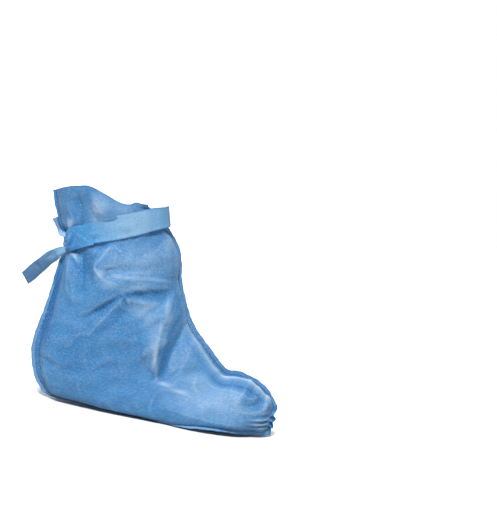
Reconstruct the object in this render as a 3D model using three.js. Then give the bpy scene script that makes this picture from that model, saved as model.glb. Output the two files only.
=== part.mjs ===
// Disposable boot cover: two side panels of thin nonwoven cloth sewn together all round their outline,
// held at the ankle by a flat strip that is knotted behind it.
// Millimetres. +Z is up, +X points to the toe, -Y is the near side. The origin lies on the inner face of
// the sole, under the middle of the leg, where the wearer's foot carries the cover.
import * as THREE from 'three';

// cloth
const wall = 1.2; // thickness of every cloth wall
const gap = 0.36; // clearance between two pieces, and between the two plies of a seam
const seamPeak = 2; // how far a seam draws the cloth out into a ridge
const seamPeakReach = 9; // how quickly that ridge dies away from the seam
const seamPress = 0.9; // radians that the front seam's allowance is pressed over, where it has slipped
const seamPressFrom = 16; // by this much or more
const plyOffset = (gap + wall) / 2; // from the plane of a seam to the middle of one ply
const toeHalf = plyOffset + 0.55; // the same at the tip of the toe, where the plies are gathered

// floor that the sole lies on
const soleSoftness = 3; // rounding between the flat of the sole and the sides
const heelLift = 2; // the cloth under the heel and the toe stands a little off the floor
const toeLift = 4;

// mesh of a panel
const panelRows = 46; // from the top edge to the toe
const nearColumns = 27; // from the front seam to the back or sole seam
const farColumns = 15;
const fineSteps = 96; // points on one half section before it is divided evenly

const sharpestMitre = 0.4; // keeps the wall from growing spikes at sharp folds

// tie
const tieClearance = 1; // from the shaft to the strip
const tieSteps = 48; // along the strip
const tieColumns = 3; // across it

function table(columns, rows) {
  return rows.map((row) => Object.fromEntries(columns.map((column, i) => [column, row[i]])));
}

// One row for each section between the front seam and the back or sole seam, from the top to the toe.
// half is the half width, widest the share of the way back where it is reached, and the two round values
// shape the front and the back half (2 is an ellipse, more is squarer). The edge values say how far the
// seam allowance stands out, and the swing values how far the seam has slipped to the near side.
const sections = table(
  [
    'frontX', 'frontZ', 'backX', 'backZ', 'half', 'widest', 'roundFront', 'roundBack', 'edgeFront', 'edgeBack',
    'swingFront', 'swingBack',
  ],
  [
    [45, 287, -93, 283, 55, 0.5, 2.0, 2.0, 5, 4, 48, 0],
    [52, 262, -83, 249, 52, 0.5, 2.0, 2.0, 5, 4, 39, 0],
    [57, 245, -74, 225, 48, 0.5, 2.0, 2.0, 5, 3, 20, 0],
    [61.5, 231, -64, 204, 45, 0.52, 2.0, 1.9, 5, 1.5, 4, 0],
    [72, 217, -64, 185, 47, 0.53, 2.0, 1.9, 5, 3, 0, 0],
    [78.5, 199, -66, 161, 50, 0.52, 2.0, 2.0, 5, 5, 0, 0],
    [83, 177, -68, 135, 50, 0.52, 2.0, 2.0, 5, 5, 0, 0],
    [92, 154, -71, 109, 48, 0.53, 2.0, 2.0, 5, 5, 0, 0],
    [103, 131.5, -76, 82, 46, 0.54, 2.0, 2.1, 5, 5, 0, 0],
    [116.5, 113, -78, 59, 44, 0.55, 2.0, 2.2, 5, 5, 0, 0],
    [131, 99, -74, 39, 42, 0.55, 2.0, 2.3, 5, 5, 0, 0],
    [144, 87, -66, 20, 41, 0.56, 2.0, 2.4, 5, 5, 0, 0],
    [153, 78, -50, 4, 40, 0.56, 2.0, 2.3, 5, 4.5, 0, 0],
    [161, 72, -14, -6, 41, 0.57, 2.0, 2.3, 5, 3, 0, 2],
    [167, 68, 30, -12, 42, 0.6, 2.0, 2.3, 5, 1.5, 0, 13],
    [174, 67, 75, -14, 44, 0.64, 2.0, 2.3, 5, 1, 0, 27],
    [184, 68, 120, -13, 47, 0.66, 2.0, 2.3, 5, 3.5, 0, 41],
    [198, 65, 158, -9, 46, 0.66, 2.0, 2.2, 5, 4.5, 0, 42],
    [213, 60, 191, -5, 40, 0.64, 2.0, 2.2, 5, 4.5, 0, 33],
    [226, 51, 220, -1, 27, 0.6, 2.0, 2.2, 5, 4.5, 0, 14],
    [237.5, 36, 237.5, 7, toeHalf, 0.5, 8, 8, 4.5, 5, 0, 0],
  ],
);
const lastSection = sections.length - 1;

// The raw top edge: its height over the near and the far side, from the front seam (0) to the back seam (1).
const topEdge = table(
  ['along', 'near', 'far'],
  [
    [0, 269, 269],
    [0.06, 269.5, 263],
    [0.12, 266, 257],
    [0.2, 266, 253],
    [0.33, 273.5, 252],
    [0.45, 278.5, 254],
    [0.57, 274.5, 257],
    [0.68, 269, 258],
    [0.8, 268, 257],
    [0.9, 266, 257],
    [1, 264, 264],
  ],
);

// Folds of the two panels. A fold runs from one point to another of the side view, bowed to one side by
// bow, and lifts the cloth by rise (a valley has a negative rise). It spreads over wideUp and wideDown,
// above and below its line, and fades out over the shares fadeIn and fadeOut of its length.
const foldColumns = [
  'fromX', 'fromZ', 'toX', 'toZ', 'bow', 'rise', 'wideUp', 'wideDown', 'fadeIn', 'fadeOut',
];
const nearFolds = table(foldColumns, [
  [-20, 121, 70, 168, -9, -9, 17, 20, 0.5, 0.25], // deep valley across the ankle
  [-14, 146, 76, 178, -8, 5, 20, 10, 0.5, 0.3], // ridge above it
  [-22, 185, 10, 163, 5, 4, 24, 12, 0.4, 0.5], // ridge below the tie
  [-22, 89, 28, 150, 0, 4, 20, 18, 0.5, 0.25], // slanting ridge under the valley
  [77, 147, 79, 47, 7, 8, 22, 15, 0.15, 0.2], // upright ridge in front of the ankle
  [82, 49, 107, 132, -2, -7, 16, 15, 0.25, 0.25], // valley from its foot up to the shin seam
  [78, 51, 128, 38, 2, 4, 16, 14, 0.2, 0.6], // ridge from its foot towards the sole
  [104, 121, 157, 75, 0, 4, 11, 14, 0.3, 0.1], // ridge beside the instep seam
  [157, 75, 206, 70, 0, 4, 10, 13, 0.1, 0.3], // ridge beside the toe seam
  [-73, 117, -75, 63, 3, -4, 13, 12, 0.4, 0.4], // hollow beside the heel seam
  [-38, 197, -30, 152, 0, -5, 14, 14, 0.2, 0.5], // gathers under the knot
  [-54, 197, -52, 163, 0, 4, 10, 10, 0.2, 0.6],
  [-60, 249, -58, 221, 0, -5, 13, 11, 0.5, 0.2], // gather above the knot
  [-88, 207, -32, 203, 0, -7, 21, 19, 0.4, 0.4], // hollow where the knot presses
]);
const farFolds = table(foldColumns, [
  [-30, 123, 66, 167, -9, -8, 18, 20, 0.5, 0.3],
  [-24, 147, 74, 177, -8, 5, 18, 12, 0.5, 0.3],
  [72, 143, 84, 55, 6, 6, 20, 16, 0.2, 0.3],
  [84, 55, 109, 128, -2, -6, 16, 16, 0.3, 0.3],
  [104, 121, 157, 75, 0, 4, 12, 14, 0.3, 0.1],
  [-72, 117, -74, 63, 3, -4, 14, 12, 0.4, 0.4],
  [-44, 199, -30, 153, 0, -5, 14, 14, 0.2, 0.5],
  [-20, 239, -26, 191, 0, -4, 15, 15, 0.4, 0.3],
]);
const foldSeamFade = 16; // folds die out over this distance from a seam

// The gathers of the toe seam: their place along the toe, from its top (0) to the sole (1), how far they
// lean to one side, and their half width along the toe.
const toeGathers = table(
  ['along', 'lean', 'halfWidth'],
  [
    [0.42, -1.3, 0.13],
    [0.64, 1.3, 0.13],
    [0.86, -1.3, 0.13],
  ],
);
const gatherReach = 26; // the gathers run this far back from the toe seam
const gatherEdge = 6.5; // how far the allowance stands out there
const gatherScallop = 3; // depth of the notches between them
const gatherCurl = 0.5; // how much further, as a share of the lean, their tips curl over

// The strip round the ankle, from the middle of the front (0) to the back seam (1): the section numbers of
// its lower and upper edge, and how far each edge stands off the shaft.
const tieRun = table(
  ['along', 'lower', 'upper', 'standLower', 'standUpper'],
  [
    [0, 2.05, 0.68, 2.5, 2],
    [0.1, 2.1, 0.7, 6.5, 5],
    [0.22, 2.35, 0.8, 6, 5],
    [0.36, 2.72, 1.07, 3, 3],
    [0.5, 2.98, 1.4, 0, 0],
    [0.7, 3.22, 1.95, 0, 0],
    [0.8, 3.35, 2.25, 0, 0],
    [0.9, 3.45, 2.65, 0, 0],
    [1, 3.5, 2.85, 2, 2],
  ],
);
const tieFarDrop = 0.3; // the strip lies this many sections lower on the far side
const tieNearEnd = 0.79; // the strip meets the knot here on the near side
const tieBackEnd = 0.925; // and here, after it has gone round the far side and the back seam

const knot = { along: 0.84, section: 2.96, stand: 7.8, lean: 0.3, long: 12.5, thick: 6.5, high: 14 };
const knotCreases = { depth: 0.22, along: 4.4, up: 1.9 }; // slanting creases of the gathered strip

// The two free ends, from the knot to the tip: a point of the outer and of the inner edge in each row.
const endColumns = ['outerX', 'outerY', 'outerZ', 'innerX', 'innerY', 'innerZ'];
const longEnd = table(endColumns, [
  [-65.6, -27, 197.4, -63, -27.6, 193],
  [-72.5, -14, 193, -71, -12, 186],
  [-78, -3, 189, -74, 8, 177],
  [-88, -1, 181, -81, 15, 165],
  [-101, -2, 166.5, -94, 17, 147.5],
  [-113.5, -4, 151, -105, 16, 135],
]);
const shortEnd = table(endColumns, [
  [-69.9, -23, 210, -69, -23, 214],
  [-75, -7, 210, -76, -6, 214],
  [-79.5, 1, 215, -74, 13, 217],
  [-88, 2, 225.5, -77, 18, 232],
]);

const colours = { near: 0x5b95cf, far: 0x5b95cf, tie: 0x6ea5db };

function smoothStep(value) {
  const t = THREE.MathUtils.clamp(value, 0, 1);
  return t * t * (3 - 2 * t);
}

// Catmull-Rom value of a column between the rows of a table.
function between(rows, column, at) {
  const last = rows.length - 1;
  const i = THREE.MathUtils.clamp(Math.floor(at), 0, last - 1);
  const t = at - i;
  const b = rows[i][column];
  const c = rows[i + 1][column];
  const a = i > 0 ? rows[i - 1][column] : 2 * b - c;
  const d = i + 2 <= last ? rows[i + 2][column] : 2 * c - b;
  return b + 0.5 * t * (c - a + t * (2 * a - 5 * b + 4 * c - d + t * (3 * (b - c) + d - a)));
}

// Value of a column at a place given by another, rising column.
function lookUp(rows, key, column, place) {
  let i = 0;
  while (i < rows.length - 2 && rows[i + 1][key] <= place) i += 1;
  const t = (place - rows[i][key]) / (rows[i + 1][key] - rows[i][key]);
  return between(rows, column, i + THREE.MathUtils.clamp(t, 0, 1));
}

function sectionAt(at) {
  const section = {};
  for (const column of Object.keys(sections[0])) section[column] = between(sections, column, at);
  return section;
}

function floorHeight(x) {
  return heelLift * smoothStep((30 - x) / 50) + toeLift * smoothStep((x - 60) / 150);
}

// Height of the cloth where the floor presses it flat.
function onFloor(x, z) {
  const above = (z - floorHeight(x)) / soleSoftness;
  return above > 20 ? z : floorHeight(x) + soleSoftness * Math.log(1 + Math.exp(above));
}

// Point of a section's loop: turn 0 is the front seam and PI the middle of the back or sole, side -1 near.
function loopPoint(section, turn, side) {
  const dx = section.backX - section.frontX;
  const dz = section.backZ - section.frontZ;
  const c = Math.cos(turn);
  const s = Math.sin(turn);
  const round = c > 0 ? section.roundFront : section.roundBack;
  const k = (Math.abs(c) ** round + Math.abs(s) ** round) ** (-1 / round);
  const reach = c > 0 ? section.widest : 1 - section.widest;
  const along = section.widest - reach * c * k;
  const x = section.frontX + dx * along;
  const z = section.frontZ + dz * along;
  return new THREE.Vector3(x, side * section.half * s * k, onFloor(x, z));
}

// Where a seam lies on the near half of the loop: near 0 for the front one, and near PI for the other.
function seamTurn(section, isBack) {
  const swing = isBack ? section.swingBack : section.swingFront;
  const turn = Math.asin(THREE.MathUtils.clamp(swing / section.half, 0, 0.98));
  return isBack ? Math.PI - turn : turn;
}

// How a seam lies on the cloth: the direction in which its allowance stands out, and by how much the way
// across it is longer along the section, where the seam runs at a slant or its allowance is pressed over.
function seamAt(at, isBack) {
  const step = 0.05; // of a section, or a radian, to measure the directions over
  const from = THREE.MathUtils.clamp(at, step, lastSection - step);
  const seamPoint = (place) => loopPoint(sectionAt(place), seamTurn(sectionAt(place), isBack), -1);
  const line = seamPoint(from + step).sub(seamPoint(from - step)).normalize();
  const section = sectionAt(from);
  const turn = seamTurn(section, isBack);
  const across = loopPoint(section, turn + step, -1).sub(loopPoint(section, turn - step, -1)).normalize();
  const out = across.clone().cross(line);
  const press = isBack ? 0 : seamPress * smoothStep(section.swingFront / seamPressFrom);
  const slant = 1 / out.length() / Math.cos(press);
  const middle = loopPoint(section, 0, -1).lerp(loopPoint(section, Math.PI, -1), 0.5);
  const faces = out.dot(loopPoint(section, turn, -1).sub(middle)) < 0 ? -1 : 1;
  out.normalize().multiplyScalar(faces * Math.cos(press)).addScaledVector(across, -Math.sin(press));
  return { out, slant };
}

// One part of a section, from its front seam to its back or sole seam, with the length run so far.
function halfSection(at, side) {
  const section = sectionAt(at);
  const first = -side * seamTurn(section, false);
  const backTurn = seamTurn(section, true);
  const last = side < 0 ? backTurn : 2 * Math.PI - backTurn;
  return measuredRun(section, first, last, side);
}

function measuredRun(section, first, last, side) {
  const points = [];
  const lengths = [0];
  for (let i = 0; i <= fineSteps; i += 1) {
    points.push(loopPoint(section, THREE.MathUtils.lerp(first, last, i / fineSteps), side));
    if (i > 0) lengths.push(lengths[i - 1] + points[i].distanceTo(points[i - 1]));
  }
  return { points, lengths, length: lengths[fineSteps] };
}

function pointAlong(run, length) {
  let i = 1;
  while (i < fineSteps && run.lengths[i] < length) i += 1;
  const t = (length - run.lengths[i - 1]) / (run.lengths[i] - run.lengths[i - 1]);
  return run.points[i - 1].clone().lerp(run.points[i], t);
}

// Point of the panel without its folds: share 0 is the front seam's stitch line, 1 the back or sole seam's.
function plainPoint(at, share, side) {
  const run = halfSection(at, side);
  const frontSeam = seamAt(at, false);
  const backSeam = seamAt(at, true);
  const first = plyOffset * frontSeam.slant;
  const last = run.length - plyOffset * backSeam.slant;
  const fromFront = THREE.MathUtils.lerp(first, last, share);
  const fromBack = run.length - fromFront;
  const point = pointAlong(run, fromFront);
  point.addScaledVector(frontSeam.out, seamPeak * Math.exp(-fromFront / seamPeakReach));
  point.addScaledVector(backSeam.out, seamPeak * Math.exp(-fromBack / seamPeakReach));
  return { point, fromSeam: Math.min(fromFront, fromBack) };
}

// Section number at which the top edge crosses a share of the panel.
function topSection(share, side) {
  const height = lookUp(topEdge, 'along', side < 0 ? 'near' : 'far', share);
  const upper = plainPoint(0, share, side).point.z;
  const lower = plainPoint(1, share, side).point.z;
  return (upper - height) / (upper - lower);
}

function foldRise(folds, x, z) {
  let rise = 0;
  for (const fold of folds) {
    const dx = fold.toX - fold.fromX;
    const dz = fold.toZ - fold.fromZ;
    const length = Math.hypot(dx, dz);
    const along = ((x - fold.fromX) * dx + (z - fold.fromZ) * dz) / (length * length);
    if (along <= 0 || along >= 1) continue;
    const straight = ((z - fold.fromZ) * dx - (x - fold.fromX) * dz) / length;
    const across = straight - fold.bow * 4 * along * (1 - along);
    const width = across > 0 ? fold.wideUp : fold.wideDown;
    const crest = Math.max(0, 1 - Math.abs(across) / width) ** 1.3;
    const fade = smoothStep(along / fold.fadeIn) * smoothStep((1 - along) / fold.fadeOut);
    rise += fold.rise * crest * fade;
  }
  return rise;
}

// Sideways lean of the cloth in the gathers of the toe.
function gatherLean(along) {
  let lean = 0;
  for (const gather of toeGathers) {
    const across = Math.abs(along - gather.along) / gather.halfWidth;
    lean += gather.lean * Math.max(0, 1 - across);
  }
  return lean;
}

// Share of the way from the top of the toe to the sole, by height.
function alongToe(z) {
  const top = sections[lastSection].frontZ;
  return (top - z) / (top - sections[lastSection].backZ);
}

// Middle surface of a side panel as rows of points: allowance, panel and allowance again.
function panelGrid(side, folds, panelColumns) {
  const shares = Array.from({ length: panelColumns + 1 }, (_, k) => k / panelColumns);
  const starts = shares.map((share) => topSection(share, side));
  const plain = (j, k) => {
    const at = THREE.MathUtils.lerp(starts[k], lastSection, j / panelRows);
    return { at, ...plainPoint(at, shares[k], side) };
  };
  const rows = [];
  for (let j = 0; j <= panelRows; j += 1) rows.push(shares.map((_, k) => plain(j, k)));
  return rows.map((row, j) => {
    const body = row.map(({ at, point, fromSeam }, k) => {
      const before = rows[Math.max(0, j - 1)][k].point;
      const after = rows[Math.min(panelRows, j + 1)][k].point;
      const left = row[Math.max(0, k - 1)].point;
      const right = row[Math.min(panelColumns, k + 1)].point;
      const normal = after.clone().sub(before).cross(right.clone().sub(left)).normalize();
      const rise = side * foldRise(folds, point.x, point.z) * smoothStep(fromSeam / foldSeamFade);
      const placed = point.clone().addScaledVector(normal, at > lastSection - 1 ? 0 : rise);
      const toToe = Math.abs(point.x - sections[lastSection].frontX);
      placed.y += gatherLean(alongToe(point.z)) * smoothStep(1 - toToe / gatherReach);
      return placed;
    });
    const front = body[0].clone();
    const back = body[panelColumns].clone();
    const frontAt = row[0].at;
    const backAt = row[panelColumns].at;
    front.addScaledVector(seamAt(frontAt, false).out, sectionAt(frontAt).edgeFront);
    back.addScaledVector(seamAt(backAt, true).out, sectionAt(backAt).edgeBack);
    return [front, ...body, back];
  });
}

// The allowance round the tip of the toe, where the two seams run into each other.
function toeEdge(lastRow) {
  const panelColumns = lastRow.length - 3;
  const frontOut = lastRow[0].clone().sub(lastRow[1]);
  const backOut = lastRow[panelColumns + 2].clone().sub(lastRow[panelColumns + 1]);
  return lastRow.map((point, k) => {
    if (k <= 1) return lastRow[0].clone();
    if (k >= panelColumns + 1) return lastRow[panelColumns + 2].clone();
    const share = (k - 1) / panelColumns;
    const out = frontOut.clone().lerp(backOut, share).normalize();
    const lean = gatherLean(share);
    const reach = gatherEdge - gatherScallop * (1 - Math.abs(lean / toeGathers[0].lean));
    const tip = point.clone().addScaledVector(out, reach);
    tip.y += lean * gatherCurl;
    return tip;
  });
}

// Closed wall of even thickness round a sheet of grid cells, given as rows of points.
function clothWall(rows, thickness, flip) {
  const points = [];
  const numbers = new Map();
  const numberOf = (point) => {
    const key = point.toArray().map((value) => Math.round(value * 500)).join();
    if (!numbers.has(key)) {
      numbers.set(key, points.length);
      points.push(point);
    }
    return numbers.get(key);
  };
  const ids = rows.map((row) => row.map(numberOf));
  const faces = [];
  const addFace = (a, b, c) => {
    if (a !== b && b !== c && c !== a) faces.push(flip ? [a, c, b] : [a, b, c]);
  };
  for (let j = 0; j + 1 < ids.length; j += 1) {
    for (let k = 0; k + 1 < ids[j].length; k += 1) {
      addFace(ids[j][k], ids[j + 1][k], ids[j + 1][k + 1]);
      addFace(ids[j][k], ids[j + 1][k + 1], ids[j][k + 1]);
    }
  }
  const normals = points.map(() => new THREE.Vector3());
  const weights = points.map(() => 0);
  const edges = new Map();
  for (const face of faces) {
    const normal = new THREE.Vector3();
    new THREE.Triangle(...face.map((i) => points[i])).getNormal(normal);
    face.forEach((i, n) => {
      const toNext = points[face[(n + 1) % 3]].clone().sub(points[i]);
      const toPrevious = points[face[(n + 2) % 3]].clone().sub(points[i]);
      const angle = toNext.angleTo(toPrevious);
      normals[i].addScaledVector(normal, angle);
      weights[i] += angle;
      const next = face[(n + 1) % 3];
      edges.set(`${i},${next}`, [i, next]);
    });
  }
  const offsets = normals.map((normal, i) => {
    const mean = normal.divideScalar(weights[i]);
    return mean.multiplyScalar(thickness / 2 / Math.max(sharpestMitre, mean.lengthSq()));
  });
  const count = points.length;
  const corners = [
    ...points.map((point, i) => point.clone().add(offsets[i])),
    ...points.map((point, i) => point.clone().sub(offsets[i])),
  ];
  const index = [];
  for (const [a, b, c] of faces) index.push(a, b, c, a + count, c + count, b + count);
  for (const [a, b] of edges.values()) {
    if (!edges.has(`${b},${a}`)) index.push(a, a + count, b + count, a, b + count, b);
  }
  const geometry = new THREE.BufferGeometry().setFromPoints(corners);
  geometry.setIndex(index);
  geometry.computeVertexNormals();
  return geometry;
}

function cloth(name, geometry, colour) {
  const material = new THREE.MeshStandardMaterial({ color: colour, roughness: 0.75, metalness: 0 });
  const mesh = new THREE.Mesh(geometry, material);
  mesh.name = name;
  return mesh;
}

function sidePanel(name, side, folds, columns, colour) {
  const rows = panelGrid(side, folds, columns);
  rows.push(toeEdge(rows[panelRows]));
  return cloth(name, clothWall(rows, wall, side > 0), colour);
}

// Point of the strip round the ankle: height 0 is its lower edge and 1 the upper.
function tiePoint(share, height, side) {
  const lower = lookUp(tieRun, 'along', 'lower', share);
  const upper = lookUp(tieRun, 'along', 'upper', share);
  const drop = side > 0 ? tieFarDrop * smoothStep(share / 0.3) * smoothStep((1 - share) / 0.3) : 0;
  const at = THREE.MathUtils.lerp(lower, upper, height) + drop;
  const standLower = lookUp(tieRun, 'along', 'standLower', share);
  const standUpper = lookUp(tieRun, 'along', 'standUpper', share);
  const stand = wall + tieClearance + THREE.MathUtils.lerp(standLower, standUpper, height);
  return standOff(at, share, side, stand);
}

// Point of the shaft from the middle of the front (share 0) to the back seam (1), whatever the front seam does.
function shaftPoint(at, share, side) {
  const run = measuredRun(sectionAt(at), 0, Math.PI, side);
  const fromBack = run.length * (1 - share);
  const point = pointAlong(run, run.length * share);
  return point.addScaledVector(seamAt(at, true).out, seamPeak * Math.exp(-fromBack / seamPeakReach));
}

// Point at a distance straight out from the shaft, measured level.
function standOff(at, share, side, distance) {
  const step = 0.01; // share of the shaft over which its direction is measured
  const before = shaftPoint(at, Math.max(0, share - step), side);
  const after = shaftPoint(at, Math.min(1, share + step), side);
  const along = after.sub(before).setZ(0).normalize();
  if (share < step) along.set(0, side, 0);
  if (share > 1 - step) along.set(0, -side, 0);
  const out = new THREE.Vector3(along.y, -along.x, 0).multiplyScalar(side);
  return shaftPoint(at, share, side).addScaledVector(out, distance);
}

// The strip: from the knot along the near side to the front, then round the far side and the back.
function tieStrip() {
  const nearLength = tieNearEnd;
  const whole = nearLength + 1 + (1 - tieBackEnd);
  const rows = [];
  for (let i = 0; i <= tieSteps; i += 1) {
    const gone = (whole * i) / tieSteps;
    const row = [];
    for (let k = 0; k <= tieColumns; k += 1) {
      const height = k / tieColumns;
      if (gone < nearLength) row.push(tiePoint(nearLength - gone, height, -1));
      else if (gone < nearLength + 1) row.push(tiePoint(gone - nearLength, height, 1));
      else row.push(tiePoint(1 - (gone - nearLength - 1), height, -1));
    }
    rows.push(row);
  }
  return rows;
}

function ribbon(ends) {
  const stepsPerRow = 4;
  const rows = [];
  for (let i = 0; i <= (ends.length - 1) * stepsPerRow; i += 1) {
    const at = i / stepsPerRow;
    const value = (column) => between(ends, column, at);
    const outer = new THREE.Vector3(value('outerX'), value('outerY'), value('outerZ'));
    const inner = new THREE.Vector3(value('innerX'), value('innerY'), value('innerZ'));
    rows.push([0, 0.5, 1].map((share) => outer.clone().lerp(inner, share)));
  }
  return rows;
}

function tieKnot() {
  const geometry = new THREE.SphereGeometry(1, 24, 14);
  const spots = geometry.getAttribute('position');
  for (let i = 0; i < spots.count; i += 1) {
    const phase = knotCreases.along * spots.getX(i) + knotCreases.up * spots.getZ(i);
    const keep = 1 - knotCreases.depth * Math.sin(phase) ** 4;
    spots.setXYZ(i, spots.getX(i), spots.getY(i) * keep, spots.getZ(i));
  }
  geometry.scale(knot.long, knot.thick, knot.high);
  geometry.rotateX(knot.lean);
  const back = standOff(knot.section, knot.along - 0.05, -1, knot.stand);
  const centre = standOff(knot.section, knot.along, -1, knot.stand);
  geometry.rotateZ(Math.atan2(back.y - centre.y, back.x - centre.x));
  geometry.translate(centre.x, centre.y, centre.z);
  return geometry;
}

const bootCover = new THREE.Group();
bootCover.add(sidePanel('near_side_panel', -1, nearFolds, nearColumns, colours.near));
bootCover.add(sidePanel('far_side_panel', 1, farFolds, farColumns, colours.far));
bootCover.add(cloth('tie_band', clothWall(tieStrip(), wall, false), colours.tie));
bootCover.add(cloth('tie_knot', tieKnot(), colours.tie));
bootCover.add(cloth('tie_long_end', clothWall(ribbon(longEnd), wall, false), colours.tie));
bootCover.add(cloth('tie_short_end', clothWall(ribbon(shortEnd), wall, false), colours.tie));

export default bootCover;
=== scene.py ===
import math

import bpy
import numpy as np
from mathutils import Matrix, Vector


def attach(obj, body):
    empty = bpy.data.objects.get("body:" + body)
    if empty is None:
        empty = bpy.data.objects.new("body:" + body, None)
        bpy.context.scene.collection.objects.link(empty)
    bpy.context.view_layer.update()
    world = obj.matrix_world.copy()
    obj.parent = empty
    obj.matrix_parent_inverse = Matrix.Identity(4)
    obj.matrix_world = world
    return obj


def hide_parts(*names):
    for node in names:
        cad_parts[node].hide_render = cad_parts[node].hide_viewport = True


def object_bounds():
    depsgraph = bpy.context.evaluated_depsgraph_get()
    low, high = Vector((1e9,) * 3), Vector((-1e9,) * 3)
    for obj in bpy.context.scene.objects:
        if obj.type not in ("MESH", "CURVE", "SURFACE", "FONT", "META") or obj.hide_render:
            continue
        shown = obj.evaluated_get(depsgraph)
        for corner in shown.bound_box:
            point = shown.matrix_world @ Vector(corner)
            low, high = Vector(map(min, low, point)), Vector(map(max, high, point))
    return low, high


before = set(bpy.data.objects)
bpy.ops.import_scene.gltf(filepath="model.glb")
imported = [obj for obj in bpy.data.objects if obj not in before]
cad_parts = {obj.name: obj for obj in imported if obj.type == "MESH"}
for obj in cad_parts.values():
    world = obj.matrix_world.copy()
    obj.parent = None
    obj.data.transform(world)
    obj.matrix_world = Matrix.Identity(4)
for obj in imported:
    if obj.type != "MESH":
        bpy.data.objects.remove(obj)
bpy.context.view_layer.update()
print("frame loaded:", ", ".join(sorted(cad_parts)))

metre = 0.001  # the tables below are in millimetres, as in the CAD source
near, far = -1, 1  # the near side is -Y

cloth = {
    "thickness": 0.5,  # one ply with its pile
    "plyOffset": 0.28,  # from the plane of a seam to the middle of one ply
    "creaseRound": 0.45,  # radius of a crisp crease
    "foldSteps": 8,  # straight steps between two rows of a fold
}


# The foot, section by section from the top to the toe: front and back points in the side view, half
# width, share of the way back where it is widest, squareness of the front and back half, widths of both
# seam allowances, and how far each seam has slipped to the near side.
sections = np.array([
    [45, 287, -93, 283, 55, 0.5, 2.0, 2.0, 5, 4, 48, 0],
    [52, 262, -83, 249, 52, 0.5, 2.0, 2.0, 5, 4, 39, 0],
    [57, 245, -74, 225, 48, 0.5, 2.0, 2.0, 5, 2.6, 20, 0],
    [61.5, 231, -64, 204, 45, 0.52, 2.0, 1.9, 5, 1.5, 4, 0],
    [72, 217, -64, 185, 47, 0.53, 2.0, 1.9, 5, 2.6, 0, 0],
    [78.5, 199, -66, 161, 50, 0.52, 2.0, 2.0, 5, 3.6, 0, 0],
    [83, 177, -68, 135, 50, 0.52, 2.0, 2.0, 5, 4.2, 0, 0],
    [92, 154, -71, 109, 48, 0.53, 2.0, 2.0, 5, 5, 0, 0],
    [103, 131.5, -76, 82, 46, 0.54, 2.0, 2.1, 5, 5, 0, 0],
    [116.5, 113, -78, 59, 44, 0.55, 2.0, 2.2, 5, 5, 0, 0],
    [131, 99, -74, 39, 42, 0.55, 2.0, 2.3, 5, 5, 0, 0],
    [144, 87, -66, 20, 41, 0.56, 2.0, 2.4, 5, 5, 0, 0],
    [153, 78, -50, 4, 40, 0.56, 2.0, 2.3, 5, 4.5, 0, 0],
    [161, 72, -14, -6, 41, 0.57, 2.0, 2.3, 5, 3, 0, 2],
    [167, 68, 30, -12, 42, 0.6, 2.0, 2.3, 5, 1.5, 0, 13],
    [174, 67, 75, -14, 44, 0.64, 2.0, 2.3, 5, 1, 0, 27],
    [184, 68, 120, -13, 47, 0.66, 2.0, 2.3, 5, 3.5, 0, 41],
    [198, 65, 158, -9, 46, 0.66, 2.0, 2.2, 5, 4.5, 0, 42],
    [213, 60, 191, -5, 40, 0.64, 2.0, 2.2, 4.4, 4.5, 0, 33],
    [226, 51, 220, -1, 27, 0.6, 2.0, 2.2, 4, 5, 0, 14],
    [237.5, 36, 237.5, 7, cloth["plyOffset"] + 0.55, 0.5, 8, 8, 4, 7.5, 0, 0],
])
frontX, frontZ, backX, backZ, halfWidth, widest, roundFront, roundBack = range(8)
edgeFront, edgeBack, swingFront, swingBack = range(8, 12)
lastSection = len(sections) - 1

# raw top edge: share of the way from the front seam to the back seam, height on the near and the far side
topEdge = np.array([
    [0, 269, 269], [0.06, 269.5, 263], [0.12, 266, 257], [0.2, 266, 253], [0.33, 273.5, 252],
    [0.45, 278.5, 254], [0.57, 276, 257], [0.68, 273, 258], [0.8, 269, 257], [0.9, 266, 257],
    [1, 264, 264],
])

seam = {
    "peak": 2.0,  # how far a seam draws the cloth out into a ridge
    "reach": 9.0,  # how quickly that ridge dies away
    "press": 0.9,  # radians that the slipped part of the front seam is pressed over
    "pressFrom": 16.0,
}
sole = {
    "softness": 3.0,  # how gently the cloth turns onto the floor
    "heelLift": 2.0, "heelFrom": 30, "heelOver": 50,
    "toeLift": 4.0, "toeFrom": 60, "toeOver": 150,
}


def smoothStep(value):
    t = np.clip(value, 0, 1)
    return t * t * (3 - 2 * t)


# rows of a table at fractional row numbers, on a smooth curve through them
def between(rows, at):
    at = np.asarray(at, float)
    last = len(rows) - 1
    i = np.clip(np.floor(at).astype(int), 0, last - 1)
    t = (at - i)[..., None]
    b, c = rows[i], rows[i + 1]
    a = np.where((i > 0)[..., None], rows[np.maximum(i - 1, 0)], 2 * b - c)
    d = np.where((i + 2 <= last)[..., None], rows[np.minimum(i + 2, last)], 2 * c - b)
    return b + 0.5 * t * (c - a + t * (2 * a - 5 * b + 4 * c - d + t * (3 * (b - c) + d - a)))


# rows of a table at places given in its first, rising column
def lookUp(rows, place):
    place = np.asarray(place, float)
    key = rows[:, 0]
    i = np.clip(np.searchsorted(key, place, side="right") - 1, 0, len(rows) - 2)
    t = np.clip((place - key[i]) / (key[i + 1] - key[i]), 0, 1)
    return between(rows, i + t)


def floorHeight(x):
    heel = sole["heelLift"] * smoothStep((sole["heelFrom"] - x) / sole["heelOver"])
    return heel + sole["toeLift"] * smoothStep((x - sole["toeFrom"]) / sole["toeOver"])


def onFloor(x, z):
    height = floorHeight(x)
    return height + sole["softness"] * np.logaddexp(0, (z - height) / sole["softness"])


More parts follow.
